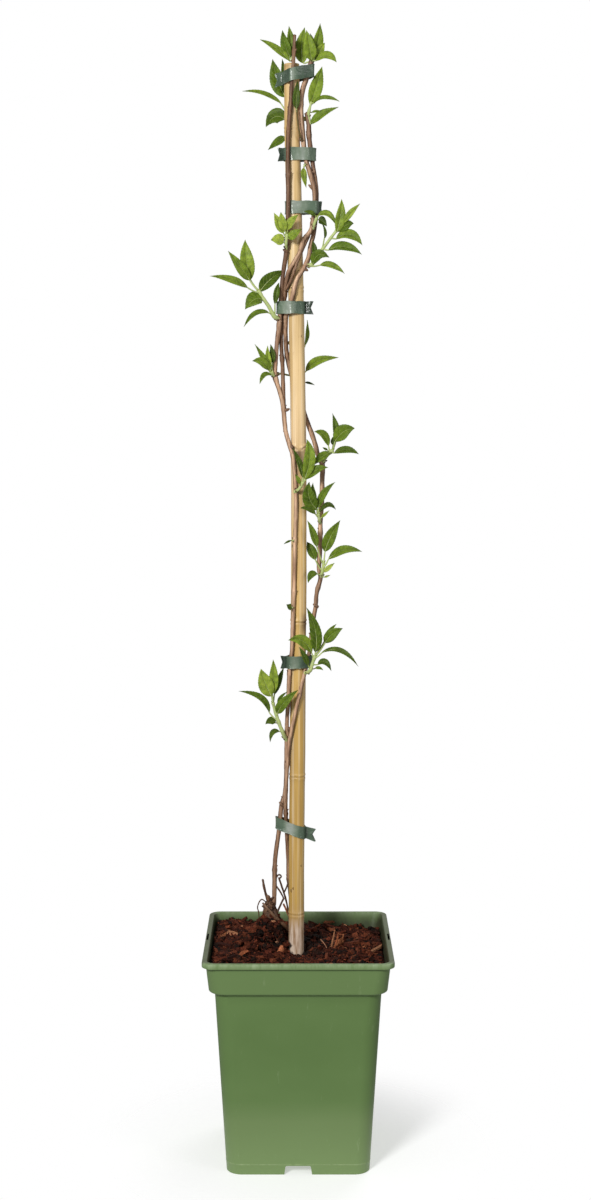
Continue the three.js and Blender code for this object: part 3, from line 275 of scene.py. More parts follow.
class Look:
    """A material, with short names for its nodes. Places in it are in metres."""

    def __init__(self, name):
        self.material = bpy.data.materials.new(name)
        self.material.use_nodes = True
        self.tree = self.material.node_tree
        self.shader = self.tree.nodes["Principled BSDF"]
        self.place = self.node("ShaderNodeTexCoord").outputs["Object"]
        self.x, self.y, self.z = self.parts(self.place)

    def node(self, kind, inputs=(), **settings):
        return node(self.tree, kind, inputs, **settings)

    def parts(self, vector):
        return self.node("ShaderNodeSeparateXYZ", {"Vector": vector}).outputs

    def math(self, operation, a, b=0.0, c=0.0):
        return self.node("ShaderNodeMath", {0: a, 1: b, 2: c}, operation=operation).outputs[0]

    def times(self, a, b):
        return self.math("MULTIPLY", a, b)

    def plus(self, a, b):
        return self.math("ADD", a, b)

    def straight(self, value, slope, start):
        return self.math("MULTIPLY_ADD", value, slope, start)

    def share(self, value, low, high):
        """How far a value is from low, at 0, to high, at 1."""
        return self.node("ShaderNodeMapRange", {"Value": value, "From Min": low, "From Max": high}).outputs[0]

    def level(self, low, high):
        """How far the height is from low to high, in millimetres."""
        return self.share(self.z, low * MM, high * MM)

    def ramp(self, factor, stops):
        made = self.node("ShaderNodeValToRGB", {"Fac": factor})
        elements = made.color_ramp.elements
        while len(elements) < len(stops):
            elements.new(0.5)
        for element, (place, colour) in zip(elements, stops):
            element.position = place
            element.color = (*colour, 1)
        return made.outputs["Color"]

    def mix(self, factor, a, b, blend="MIX"):
        colours = [(*value, 1) if isinstance(value, tuple) else value for value in (a, b)]
        inputs = {0: factor, 6: colours[0], 7: colours[1]}
        return self.node("ShaderNodeMix", inputs, data_type="RGBA", blend_type=blend).outputs[2]

    def coats(self, colour, coats):
        """Lays coats over a colour, each given as how much of it shows and its colour."""
        for shown, coat in coats:
            colour = self.mix(shown, colour, coat)
        return colour

    def noise(self, scale, stretch=(1, 1, 1), detail=3.0, rough=0.55):
        mapped = self.node("ShaderNodeMapping", {"Vector": self.place, "Scale": stretch}).outputs[0]
        inputs = {"Vector": mapped, "Scale": scale, "Detail": detail, "Roughness": rough}
        return self.node("ShaderNodeTexNoise", inputs).outputs["Fac"]

    def tint(self):
        """The points' tint, whole and in its three parts."""
        made = self.node("ShaderNodeAttribute", attribute_name="tint", attribute_type="GEOMETRY")
        whole = made.outputs["Color"]
        return whole, *self.node("ShaderNodeSeparateColor", {"Color": whole}).outputs

    def finish(self, inputs, height=None, distance=0.0, strength=1.0):
        """Sets the shader's inputs and the bump, and gives the material."""
        fill(self.tree, self.shader, inputs)
        if height is not None:
            bump = self.node("ShaderNodeBump", {"Height": height, "Distance": distance, "Strength": strength})
            self.tree.links.new(bump.outputs[0], self.shader.inputs["Normal"])
        return self.material


def wall_shade_and_dirt(look, scuff):
    """How much painted shade and dirt darken the wall: nothing outside, and inside more towards the substrate
    and on the side walls.
    """
    facing = look.node("ShaderNodeNewGeometry").outputs["Normal"]
    flat = look.node("ShaderNodeVectorMath", {0: look.place, 1: (1, 1, 0)}, operation="MULTIPLY").outputs[0]
    outward = look.node("ShaderNodeVectorMath", {0: flat, 1: facing}, operation="DOT_PRODUCT")
    inner = look.math("LESS_THAN", outward.outputs["Value"], -0.02)
    deep = look.share(look.straight(scuff, -12 * MM, look.z), 194 * MM, 183 * MM)
    sideways = look.share(look.math("ABSOLUTE", look.parts(facing)[0]), 0.5, 0.9)
    shade_and_dirt = look.straight(sideways, 0.38, look.straight(deep, 0.6, 0.2))
    return look.times(inner, look.math("MINIMUM", shade_and_dirt, 0.92))


def rim_marks(look):
    """Where the rim is greyer, along its two sides, and where its two slots are, whose floors and walls are
    painted black as painted shade.
    """
    across = look.math("ABSOLUTE", look.x)
    back = look.math("ABSOLUTE", look.y)
    sides = look.math("GREATER_THAN", across, (HALF["collar_top"] - 3) * MM)
    sides = look.times(sides, look.math("GREATER_THAN", look.z, (POT["height"] - 1.2) * MM))
    grey_sides = look.times(sides, look.share(back, 82 * MM, 77 * MM))
    slot = look.math("COMPARE", across, SLOT["reach"] * MM, (SLOT["width"] / 2 + 0.1) * MM)
    slot = look.times(slot, look.math("LESS_THAN", back, (SLOT["length"] / 2 + 0.1) * MM))
    slot = look.times(slot, look.math("LESS_THAN", look.z, (POT["height"] - 0.25) * MM))
    return grey_sides, slot


def pot_look():
    look = Look("pot_plastic")
    broad = look.noise(7, (1, 1, 1.6))
    fine = look.noise(420, detail=4)
    scuff = look.noise(60, (3, 3, 0.8), detail=4, rough=0.7)
    seam = look.math("COMPARE", look.z, FOOT_SEAM * MM, 0.5 * MM)
    worn = look.times(look.level(194.5, 199), look.share(scuff, 0.3, 0.75))
    grey_sides, slot = rim_marks(look)
    green = look.ramp(broad, [(0.3, (0.108, 0.186, 0.056)), (0.7, (0.13, 0.216, 0.07))])
    green = look.coats(green, [
        # Painted reflection of the lit floor lightens the pot below 70 mm
        (look.times(look.level(70, 50), 0.6), (0.165, 0.238, 0.094)),
        # Painted light lightens the pot from the step at 169 mm up
        (look.times(look.level(169, 173), 0.6), (0.155, 0.238, 0.088)),
        (look.times(seam, look.share(scuff, 0.35, 0.65)), (0.24, 0.32, 0.15)),
        (look.times(worn, 0.75), (0.36, 0.46, 0.27)),
        (look.times(look.share(scuff, 0.64, 0.8), 0.35), (0.3, 0.38, 0.2)),
        # Painted shade and dirt darken the inside walls
        (wall_shade_and_dirt(look, scuff), (0.028, 0.026, 0.014)),
        # The rim's top is greyer along its two sides
        (look.times(grey_sides, 0.7), (0.12, 0.118, 0.085)),
        # The slots are painted black: the painted shade of holes through the rim
        (slot, (0.003, 0.003, 0.002)),
    ])
    height = look.plus(look.times(broad, 2.5), look.times(fine, 0.16))
    inputs = {"Base Color": green, "Roughness": look.straight(scuff, 0.25, 0.32), "Specular IOR Level": 0.33}
    return look.finish(inputs, height, 0.0006, 0.5)


def soil_look():
    look = Look("soil")
    grain = look.noise(1100, detail=5, rough=0.75)
    fibre = look.noise(520, (1, 0.2, 1), detail=4)
    shade = look.ramp(grain, [(0.3, (0.15, 0.1, 0.09)), (0.5, (0.65, 0.55, 0.5)), (0.75, (1.9, 1.4, 1.2))])
    colour = look.mix(1.0, look.tint()[0], shade, "MULTIPLY")
    inputs = {"Base Color": colour, "Roughness": 0.8, "Specular IOR Level": 0.12}
    return look.finish(inputs, look.plus(grain, fibre), 0.0008)


def cane_look():
    """Red darkens, for scars, stains, scuffs and painted shade, green is the pale cut end and blue the
    powdery length at the foot. The first ramp gives the colour by height in metres."""
    look = Look("bamboo")
    _, red, green, blue = look.tint()
    fibre = look.noise(900, (1, 1, 0.015))
    band = look.noise(260, (1, 1, 0.02), detail=2)
    patch = look.noise(70, (1, 1, 0.3), detail=4)
    fleck = look.noise(420, (1, 1, 0.35))
    sheen = look.noise(330, (1, 1, 0.012), detail=2)
    streak = look.noise(620, (1, 1, 0.09), detail=4)
    colour = look.ramp(look.z, [
        (0.2, (0.5, 0.32, 0.17)), (0.235, (0.58, 0.36, 0.085)), (0.4, (0.64, 0.405, 0.11)),
        (0.56, (0.78, 0.52, 0.19)), (0.66, (0.84, 0.6, 0.32)), (0.8, (0.8, 0.58, 0.27)),
        (0.98, (0.68, 0.45, 0.18)),
    ])
    colour = look.coats(colour, [
        (look.times(look.share(band, 0.4, 0.7), 0.3), (0.5, 0.29, 0.07)),
        (look.times(look.share(patch, 0.5, 0.8), 0.35), (0.5, 0.33, 0.14)),
        (look.times(look.share(sheen, 0.52, 0.68), 0.4), (0.97, 0.83, 0.62)),
    ])
    lines = look.ramp(fibre, [(0.35, (0.8, 0.76, 0.7)), (0.62, (1.06, 1.06, 1.06))])
    colour = look.mix(0.85, colour, lines, "MULTIPLY")
    spots = look.ramp(fleck, [(0.68, (1, 1, 1)), (0.76, (0.55, 0.42, 0.28))])
    colour = look.mix(0.35, colour, spots, "MULTIPLY")
    powder = look.times(blue, look.share(look.plus(streak, patch), 0.84, 1.12))
    colour = look.coats(colour, [
        (look.times(blue, 0.7), (0.3, 0.17, 0.1)), (powder, (0.76, 0.6, 0.47)),
        (red, (0.11, 0.055, 0.022)), (green, (0.8, 0.62, 0.42)),
    ])
    inputs = {"Base Color": colour, "Roughness": look.straight(patch, 0.25, 0.3)}
    return look.finish(inputs, look.plus(fibre, band), 0.0003, 0.35)


def wood_look():
    """Red is how pale the bark is, green how dark; on the stems and crown both also carry painted light and
    shade.
    """
    look = Look("bark")
    _, light, dark, _ = look.tint()
    streak = look.noise(900, (1, 1, 0.05), detail=4)
    patch = look.noise(110, (1, 1, 0.25), detail=4)
    speck = look.noise(1300, (1, 1, 0.5), detail=1)
    red_brown = look.ramp(patch, [(0.3, (0.085, 0.036, 0.018)), (0.7, (0.2, 0.1, 0.05))])
    tan = look.ramp(patch, [(0.3, (0.41, 0.235, 0.145)), (0.7, (0.77, 0.53, 0.35))])
    lines = look.ramp(streak, [
        (0.32, (0.45, 0.38, 0.34)), (0.5, (0.95, 0.93, 0.9)), (0.68, (1.5, 1.45, 1.4)),
    ])
    colour = look.mix(0.85, look.mix(light, red_brown, tan), lines, "MULTIPLY")
    dots = look.times(look.share(speck, 0.68, 0.74), 0.45)
    colour = look.coats(colour, [(dots, (0.62, 0.46, 0.32)), (dark, (0.03, 0.015, 0.01))])
    inputs = {"Base Color": colour, "Roughness": 0.5, "Specular IOR Level": 0.3}
    return look.finish(inputs, streak, 0.0005, 0.9)


def tie_look():
    """Red is the tone, from dark to pale, with painted shade and a painted highlight in it."""
    look = Look("tie_tape")
    crease = look.noise(200, (0.8, 0.8, 2.2))
    broad = look.noise(75, (1, 1, 0.6), detail=2)
    tone = look.plus(look.tint()[1], look.straight(broad, 0.7, -0.35))
    colour = look.ramp(tone, [
        (0.0, (0.03, 0.05, 0.033)), (0.35, (0.095, 0.145, 0.095)), (0.65, (0.19, 0.24, 0.175)),
        (1.0, (0.42, 0.45, 0.41)),
    ])
    inputs = {"Base Color": colour, "Roughness": look.straight(crease, 0.3, 0.12), "Specular IOR Level": 0.55}
    return look.finish(inputs, look.plus(crease, broad), 0.001, 0.5)


def staple_look():
    look = Look("staple_steel")
    roughness = look.straight(look.noise(900), 0.3, 0.2)
    return look.finish({"Base Color": (0.36, 0.37, 0.35, 1), "Metallic": 1.0, "Roughness": roughness})


def leaf_look():
    """Red is age (kept low on shoot_inner's stalk as painted shade), green the tone, and blue the side: 0
    above, half below, 1 on stalks.
    """
    look = Look("kiwi_leaf")
    _, age, tone, side = look.tint()
    along, across, _ = look.parts(look.node("ShaderNodeUVMap", uv_map="span").outputs[0])
    out = look.math("ABSOLUTE", across)
    bend = look.times(look.math("POWER", out, VEINS["power"]), VEINS["bend"])
    phase = look.times(look.math("SUBTRACT", along, bend), VEINS["pairs"])
    near = look.math("ABSOLUTE", look.math("SUBTRACT", look.math("FRACT", phase), 0.5))
    rib = look.share(out, 0.1, 0.03)
    veins = look.math("MAXIMUM", look.times(look.share(near, 0.12, 0.02), 0.52), rib)
    upper_only = look.math("LESS_THAN", side, 0.25)
    blade = look.math("LESS_THAN", side, 0.75)
    green = look.ramp(tone, [
        (0.0, (0.036, 0.064, 0.006)), (0.25, (0.094, 0.156, 0.013)), (0.5, (0.19, 0.27, 0.03)),
        (0.75, (0.29, 0.375, 0.055)), (1.0, (0.39, 0.47, 0.105)),
    ])
    mottle = look.ramp(look.noise(240, detail=4), [(0.3, (0.6, 0.63, 0.58)), (0.7, (1.42, 1.36, 1.24))])
    green = look.mix(1.0, green, mottle, "MULTIPLY")
    cells = look.noise(1500)
    shade = look.ramp(cells, [(0.35, (0.8, 0.8, 0.8)), (0.65, (1.2, 1.2, 1.1))])
    green = look.mix(0.6, green, shade, "MULTIPLY")
    pale = look.mix(0.55, green, (0.36, 0.44, 0.14))
    colour = look.mix(look.times(veins, 0.75), green, pale)
    below = look.mix(0.4, colour, (0.24, 0.33, 0.14))
    stalk = look.ramp(age, [(0.0, (0.11, 0.055, 0.025)), (0.4, (0.3, 0.38, 0.1)), (1.0, (0.56, 0.64, 0.28))])
    colour = look.mix(blade, stalk, look.mix(upper_only, below, colour))
    relief = look.math("SUBTRACT", look.times(cells, 0.35), look.times(veins, blade))
    inputs = {
        "Base Color": colour, "Roughness": 0.42, "Specular IOR Level": 0.13, "Subsurface Weight": 0.15,
        "Subsurface Radius": (0.6, 1.0, 0.1), "Subsurface Scale": 0.001,
    }
    return look.finish(inputs, relief, 0.0003, 0.8)


MATERIALS = {
    "pot": pot_look(), "soil": soil_look(), "cane": cane_look(), "wood": wood_look(),
    "tie": tie_look(), "staple": staple_look(), "leaf": leaf_look(),
}

# Camera, light and floor
SENSOR = 36
camera = bpy.data.objects.new("camera", bpy.data.cameras.new("camera"))
camera.data.sensor_fit = "VERTICAL"
camera.data.sensor_height = SENSOR
camera.data.lens = VIEW["focal"] / VIEW_TALL * SENSOR
camera.data.clip_end = 50
camera.location = (VIEW["side"] * MM, -VIEW["distance"] * MM, VIEW["height"] * MM)
camera.rotation_euler = (math.pi / 2 - VIEW["pitch"], 0, 0)
bpy.context.scene.collection.objects.link(camera)
bpy.context.scene.camera = camera
bpy.context.scene.view_settings.view_transform = "Standard"


def area_light(name, place, aim, size, power):
    data = bpy.data.lights.new(name, "AREA")
    data.shape = "DISK"
    data.size = size
    data.energy = power
    lamp = bpy.data.objects.new(name, data)
    bpy.context.scene.collection.objects.link(lamp)
    lamp.location = place
    x, y, z = np.array(aim) - np.array(place)
    lamp.rotation_euler = (math.atan2(math.hypot(x, y), -z), 0, math.atan2(-x, y))


area_light("key", (-1.0, -2.1, 1.5), (0, 0, 0.45), 0.6, 52)
area_light("fill", (1.7, -1.3, 0.9), (0, 0, 0.5), 1.0, 6)
area_light("back", (0.7, 1.5, 1.9), (0, 0, 0.5), 1.2, 9)

# The world looks white to the camera and lights the part more softly
WHITE = (1, 1, 1, 1)
world = bpy.data.worlds.new("studio")
bpy.context.scene.world = world
world.use_nodes = True
sky = world.node_tree
seen = sky.nodes["Background"]
seen.inputs["Color"].default_value = WHITE
lighting = node(sky, "ShaderNodeBackground", {"Color": WHITE, "Strength": 0.3})
straight = node(sky, "ShaderNodeLightPath").outputs["Is Camera Ray"]
both = node(sky, "ShaderNodeMixShader", {0: straight, 1: lighting.outputs[0], 2: seen.outputs[0]})
sky.links.new(both.outputs[0], sky.nodes["World Output"].inputs["Surface"])

# A pale round floor, which fades into the white round it
FLOOR = {"radius": 0.4, "solid": 0.08, "clear": 0.24, "glow": 0.42, "grey": 0.75, "sides": 96}
floor_mesh = bpy.data.meshes.new("floor")
rim = [(FLOOR["radius"] * math.cos(a), FLOOR["radius"] * math.sin(a), 0) for a in circle(FLOOR["sides"])]
floor_mesh.from_pydata(rim, [], [list(range(FLOOR["sides"]))])
floor = bpy.data.objects.new("floor", floor_mesh)
bpy.context.scene.collection.objects.link(floor)
paper = Look("floor_paper")
reach = paper.node("ShaderNodeVectorMath", {0: paper.place}, operation="LENGTH").outputs["Value"]
span = {"Value": reach, "From Min": FLOOR["clear"], "From Max": FLOOR["solid"]}
fade = paper.node("ShaderNodeMapRange", span, interpolation_type="SMOOTHERSTEP").outputs[0]
floor_mesh.materials.append(paper.finish({
    "Base Color": (FLOOR["grey"], FLOOR["grey"], FLOOR["grey"], 1), "Emission Color": WHITE,
    "Emission Strength": FLOOR["glow"], "Roughness": 0.9, "Alpha": fade,
}))


# Pot
def square_ring(half, corner, z, steps=12):
    """Points round a square with rounded corners."""
    ring = []
    reach = half - corner
    for quarter in range(4):
        turn = quarter * math.pi / 2
        x = reach * (math.cos(turn) - math.sin(turn))
        y = reach * (math.sin(turn) + math.cos(turn))
        for i in range(steps + 1):
            angle = turn + i / steps * math.pi / 2
            ring.append((x + corner * math.cos(angle), y + corner * math.sin(angle), z))
    return np.array(ring)


def inner_half(z):
    """Half the pot's width inside, at a height."""
    t = (z - POT["floor"]) / (LEVEL["step"] - POT["floor"])
    return (HALF["base"] + 0.5) * (1 - t) + HALF["step"] * t - POT["wall"]


def close_loft(soup, rings, tint=GREY):
    """Joins rings of points, and closes the first and the last."""
    columns = len(rings[0])
    first = soup.add(np.concatenate(rings), ring_faces(len(rings), columns), None, tint)
    end = np.arange(columns) + first
    soup.add_faces(np.array([end[::-1]]))
    soup.add_faces(np.array([end + (len(rings) - 1) * columns]))


def pot_profile():
    """The wall as [half width, corner, height], from the foot up, over the rim and down to the floor."""
    wall, top = POT["wall"], POT["height"]
    base, step, foot = HALF["base"], HALF["step"], HALF["collar_foot"]
    collar, rim = HALF["collar_top"], HALF["rim"]
    low, lip = LEVEL["step"], LEVEL["lip"]
    rows = [
        (base - 2.6, 12, POT["floor_under"]), (base - 2.2, 12, 0.5), (base - 1.7, 12.3, 0),
        (base - 0.5, 13.6, 0), (base, 14, 0.5), (base + 0.53, 14, 9.2), (base + 0.7, 14, FOOT_SEAM),
        (base + 0.59, 14, 10.2),
    ]
    rows += [(base + (step - base) * t, 14 + t, low * t) for t in np.arange(1, 16) / 16]
    rows += [(step, 15, low - 0.6), (step + 0.25, 15, low - 0.15), (step + 0.8, 15, low + 0.1),
             (foot - 2, 15, low + 0.6)]
    for k in range(1, 7):
        angle = (k / 6 - 1) * math.pi / 2
        rows.append((foot - 2 + 2 * math.cos(angle), 14.6, low + 2.6 + 2 * math.sin(angle)))
    return rows + [
        (collar - 0.1, 12, lip - 0.7), (collar + 0.5, 12, lip), (rim - 0.6, 10, lip),
        (rim - 0.1, 10, lip + 0.35), (rim, 10, lip + 0.9), (rim, 10, top - 1.3), (rim - 0.25, 10, top - 0.5),
        (rim - 0.8, 9.8, top - 0.08), (rim - 1.4, 9.6, top), (collar - wall + 0.7, 9, top),
        (collar - wall + 0.2, 9, top - 0.3),
        (collar - wall, 9, top - 1), (foot - wall, 12, LEVEL["collar_foot"] + 1), (step - wall, 13, low - 1),
        (inner_half(POT["floor"]), 12, POT["floor"]),
    ]


def pot_cuts():
    """What is cut from the pot, as lofts: its foot notches, drain holes and rim slots."""
    past = HALF["rim"] + 15
    lofts = [
        [[(x, y, z) for x, z in FOOT_NOTCH] for y in (past, -past)],
        [[(x, -y, z) for y, z in FOOT_NOTCH] for x in (past, -past)],
    ]
    for angle in circle(DRAIN["count"]) + TURN / DRAIN["count"] / 2:
        x, y = DRAIN["reach"] * math.cos(angle), DRAIN["reach"] * math.sin(angle)
        hole = [(x + DRAIN["radius"] * math.cos(a), y + DRAIN["radius"] * math.sin(a)) for a in circle(20)]
        lofts.append([[(*p, z) for p in hole] for z in (DRAIN["low"], DRAIN["high"])])
    for side in (-1, 1):
        x0, x1 = sorted(side * (SLOT["reach"] + d * SLOT["width"] / 2) for d in (-1, 1))
        y = SLOT["length"] / 2
        levels = (SLOT["floor"], POT["height"] + 3)
        lofts.append([[(x0, -y, z), (x1, -y, z), (x1, y, z), (x0, y, z)] for z in levels])
    soup = Soup()
    for loft in lofts:
        close_loft(soup, [np.array(ring) for ring in loft])
    return soup.object("cutter")


def make_pot():
    soup = Soup()
    close_loft(soup, [square_ring(*row) for row in pot_profile()])
    piece = soup.build("pot_shell", "pot", ["pot"])
    cut = piece.modifiers.new("cut", "BOOLEAN")
    cut.operation = "DIFFERENCE"
    cut.solver = "EXACT"
    cut.object = pot_cuts()
    whole = piece.evaluated_get(bpy.context.evaluated_depsgraph_get())
    mesh = bpy.data.meshes.new_from_object(whole)
    bpy.data.objects.remove(cut.object)
    piece.modifiers.clear()
    piece.data = mesh
    mesh.shade_smooth()
    mesh.set_sharp_from_angle(angle=math.radians(28))


# Substrate
HEAP = {"x": -24, "y": -2, "rise": 31, "left": 20, "right": 16, "front": 10.5, "back": 18, "spread": 11}
# The black humus behind the cane's foot, and the size of its largest bits
HOLLOW = {"x": 1, "y": 20, "spread": 850, "bits": 4.2}
# The cane's foot stands clear of the heap and in a dip
FOOT = {"x": -0.5, "y": -5, "clear": 9, "dip": 5.5, "dip_y": -6, "dip_spread": 420}
# One crumb in heap_every goes on the heap, pale is the share of pale ones, and crumbs and fibres stay as
# far off the cane, which is at cane_x, as the last two values say
MIX = {
    "crumbs": 4700, "heap_every": 4, "largest": 8.5, "pale": 0.018, "fibres": 900, "cane_x": -1.5,
    "crumbs_off": 8.6, "fibres_off": 10,
}
SOIL_EDGE = HALF["collar_foot"] - POT["wall"]
SOIL_REACH = SOIL_EDGE - 0.4


def soil_height(x, y):
    lean = 188 - 0.055 * x + 0.015 * y
    dip = FOOT["dip"] * np.exp(-(x * x + (y - FOOT["dip_y"]) ** 2) / FOOT["dip_spread"])
    right, back = x - HEAP["x"], y - HEAP["y"]
    wide = np.where(right > 0, HEAP["right"], HEAP["left"])
    deep = np.where(back > 0, HEAP["back"], HEAP["front"])
    mound = HEAP["rise"] * np.exp(-(right / wide) ** 2 - (back / deep) ** 4)
    off_foot = np.hypot(x - FOOT["x"], y - FOOT["y"])
    mound = mound * np.clip((off_foot - FOOT["clear"]) / FOOT["clear"], 0, 1)
    crumbs = 1.1 * np.sin(x * 0.31 + 1.3 * np.sin(y * 0.17)) * np.cos(y * 0.27 + 0.9 * np.sin(x * 0.13))
    return lean - dip + mound + crumbs


def rough_ground(x, y):
    rng = np.random.default_rng(11)
    total = np.zeros_like(x)
    for size, rise in ((9, 0.9), (5, 0.6), (2.6, 0.4)):
        for _ in range(6):
            angle, phase = rng.uniform(*ROUND, 2)
            total += rise / 3 * np.sin((x * math.cos(angle) + y * math.sin(angle)) * ROUND[1] / size + phase)
    return total


BARK = [
    (0.105, 0.029, 0.016), (0.07, 0.02, 0.012), (0.15, 0.044, 0.023), (0.045, 0.015, 0.01),
    (0.19, 0.062, 0.03),
]
HUMUS = [(0.012, 0.009, 0.008), (0.02, 0.013, 0.01), (0.03, 0.016, 0.011)]
CHIP = [(0.4, 0.15, 0.07), (0.48, 0.21, 0.1), (0.3, 0.1, 0.05), (0.5, 0.27, 0.15)]
STRAW = (0.62, 0.38, 0.24)
# Chips that lie at the sides and the back: [x, y, length, width, turn]
CHIPS = [
    (34, 58, 12, 5, 35), (36, 26, 11, 4, 60), (-52, -30, 12, 6, 40), (-60, 30, 14, 5, -30),
    (-30, 58, 13, 6, 15),
]
# Chips that show in the front view: [across, down, length, width, turn, colour]
SEEN_CHIPS = [
    (279.6, 955, 10.5, 5.4, 26, (0.52, 0.22, 0.11)), (376, 952.5, 17, 3, 40, (0.5, 0.27, 0.15)),
    (340.5, 946, 7, 3, 60, (0.45, 0.2, 0.1)), (329, 925, 9, 3, 10, (0.3, 0.13, 0.07)),
]
# Straws that show there: both ends as [across, down], and how far the straw stands up
STRAWS = [
    ((276, 944), (286.5, 949), 0), ((320.7, 942), (326.7, 950), 0), ((283.5, 906), (289.5, 919), 5),
    ((331.6, 949), (334.8, 930), 4), ((334, 951), (338.4, 933), 5), ((340, 947), (343.4, 934), 5),
    ((337, 948), (341, 938), 3),
]
# The corners of a crumb's quads, numbered by layer, row and column
CRUMB_FACES = [[0, 8, 12, 4], [3, 7, 15, 11]]
for k in range(3):
    CRUMB_FACES += [
        [k, k + 4, k + 5, k + 1], [k + 8, k + 9, k + 13, k + 12],
        [k, k + 1, k + 9, k + 8], [k + 4, k + 12, k + 13, k + 5],
    ]


def on_soil(across, down):
    """The point of the substrate that is seen at a place in the front view."""
    for depth in np.arange(-78, 78, 0.5):
        p = at((across, down, depth))
        if p[2] <= soil_height(p[0], p[1]) + 0.6:
            break
    return p


def spun(axis, angle):
    """The matrix of a turn about x, y or z, given as 0, 1 or 2."""
    a, b = (axis + 1) % 3, (axis + 2) % 3
    matrix = np.eye(3)
    matrix[a, a] = matrix[b, b] = math.cos(angle)
    matrix[b, a] = math.sin(angle)
    matrix[a, b] = -math.sin(angle)
    return matrix


def crumb(soup, rng, place, size, stretch, turn, colour):
    """A broken flake of bark: a box whose corners are pushed about."""
    corners = np.array([[x, y, z] for z in (-1, 1) for y in (-1, 1) for x in (-1, -0.3, 0.4, 1)], float)
    corners += rng.uniform(-0.28, 0.28, corners.shape)
    corners *= np.array(stretch) * size / 2
    tilt = rng.normal(0, 0.45, 2)
    spin = spun(2, turn) @ spun(0, tilt[0]) @ spun(1, tilt[1])
    shade = np.array(colour) * rng.uniform(0.7, 1.3)
    tint = np.clip(shade * rng.uniform(0.8, 1.2, (len(corners), 1)), 0, 1)
    points = corners @ spin.T + place
    points[:, :2] = np.clip(points[:, :2], -SOIL_REACH, SOIL_REACH)
    soup.add(points, CRUMB_FACES, None, tint)


def add_fill(soup, rng):
    """The solid fill under the loose crumbs, darker near the cane."""
    steps = 20
    walls = (POT["floor"] + 0.3, 60, 120, LEVEL["step"] - 2)
    rings = [square_ring(inner_half(z) - 0.45, 12.4, z, steps) for z in walls]
    rings.append(square_ring(HALF["step"] - POT["wall"] + 2.6, 12, 178, steps))
    disc = square_ring(1, 0.16, 0, steps)
    for scale in np.concatenate([[1, 0.985], np.linspace(0.965, 0.02, 44)]):
        flat = disc * (SOIL_EDGE + 0.4) * scale
        z = soil_height(flat[:, 0], flat[:, 1]) + rough_ground(flat[:, 0], flat[:, 1])
        flat[:, 2] = z - (1.8 if scale == 1 else 0)
        rings.append(flat)
    body = np.concatenate(rings)
    spread = np.hypot(body[:, 0] - 4, body[:, 1])
    dark = np.clip(1.1 - spread / 34 + rng.uniform(-0.3, 0.3, len(body)), 0, 1)[:, None]
    colours = np.array(BARK)[rng.integers(0, 4, len(body))] * 0.6
    close_loft(soup, rings, colours * (1 - dark) + np.array(HUMUS[1]) * dark)


def add_crumbs(soup, rng, reach):
    placed = 0
    while placed < MIX["crumbs"]:
        x, y = rng.uniform(-reach, reach, 2)
        if placed % MIX["heap_every"] == 0:
            x, y = HEAP["x"] + rng.normal(0, HEAP["spread"]), HEAP["y"] + rng.normal(0, HEAP["spread"])
        # None lies against the cane or in a rounded corner, and none by the wall stands over the rim
        off_cane = math.hypot(x - MIX["cane_x"], y)
        if off_cane < MIX["crumbs_off"] or abs(abs(x) - reach) + abs(abs(y) - reach) < 5:
            continue
        placed += 1
        size = min(rng.gamma(2.6, 0.95) + 0.8, MIX["largest"])
        near = math.exp(-((x - HOLLOW["x"]) ** 2 + (y - HOLLOW["y"]) ** 2) / HOLLOW["spread"])
        z = soil_height(x, y) + rng.uniform(-0.6, 1.2) + size * 0.12
        if max(abs(x), abs(y)) > 55:
            z = min(z, POT["height"] - 1.5)
        if rng.uniform() < 0.16 + 0.74 * near:
            turn, colour = rng.uniform(*ROUND), HUMUS[rng.integers(0, 3)]
            crumb(soup, rng, (x, y, z - 0.2), min(size, HOLLOW["bits"]), (1, 0.85, 0.7), turn, colour)
        else:
            pale = rng.uniform() < MIX["pale"]
            colour = CHIP[rng.integers(0, 4)] if pale else BARK[rng.integers(0, 5)]
            stretch = (1.4, rng.uniform(0.3, 0.7), rng.uniform(0.2, 0.45))
            crumb(soup, rng, (x, y, z), size, stretch, rng.uniform(*ROUND), colour)


def add_chips(soup, rng):
    chips = [(x, y, soil_height(x, y) + 1.6, *size, CHIP[rng.integers(0, 4)]) for x, y, *size in CHIPS]
    for across, down, *size in SEEN_CHIPS:
        chips.append((*(on_soil(across, down) + np.array([0, -1, 3.4])), *size))
    for x, y, z, length, width, turn, colour in chips:
        crumb(soup, rng, (x, y, z), length, (1, width / length, 1.8 / length), math.radians(turn), colour)


def add_straws(soup, rng):
    for start, end, lift in STRAWS:
        a, b = (on_soil(*p) + np.array([0, -1, 2.4]) for p in (start, end))
        if lift:
            b = at((*end, a[1] + 2))
        middle = (a + b) / 2 + rng.normal(0, 0.3, 3) + np.array([0, 0, lift * 0.1])
        points, _ = curve_points([a, middle, b], 1.0)
        thick, colour = (1.1, CHIP[rng.integers(0, 4)]) if lift > 2 else (0.9, STRAW)
        tube(soup, points, np.linspace(thick, thick * 0.5, len(points)), 6, colour, lumps=0.2, flat=0.6)


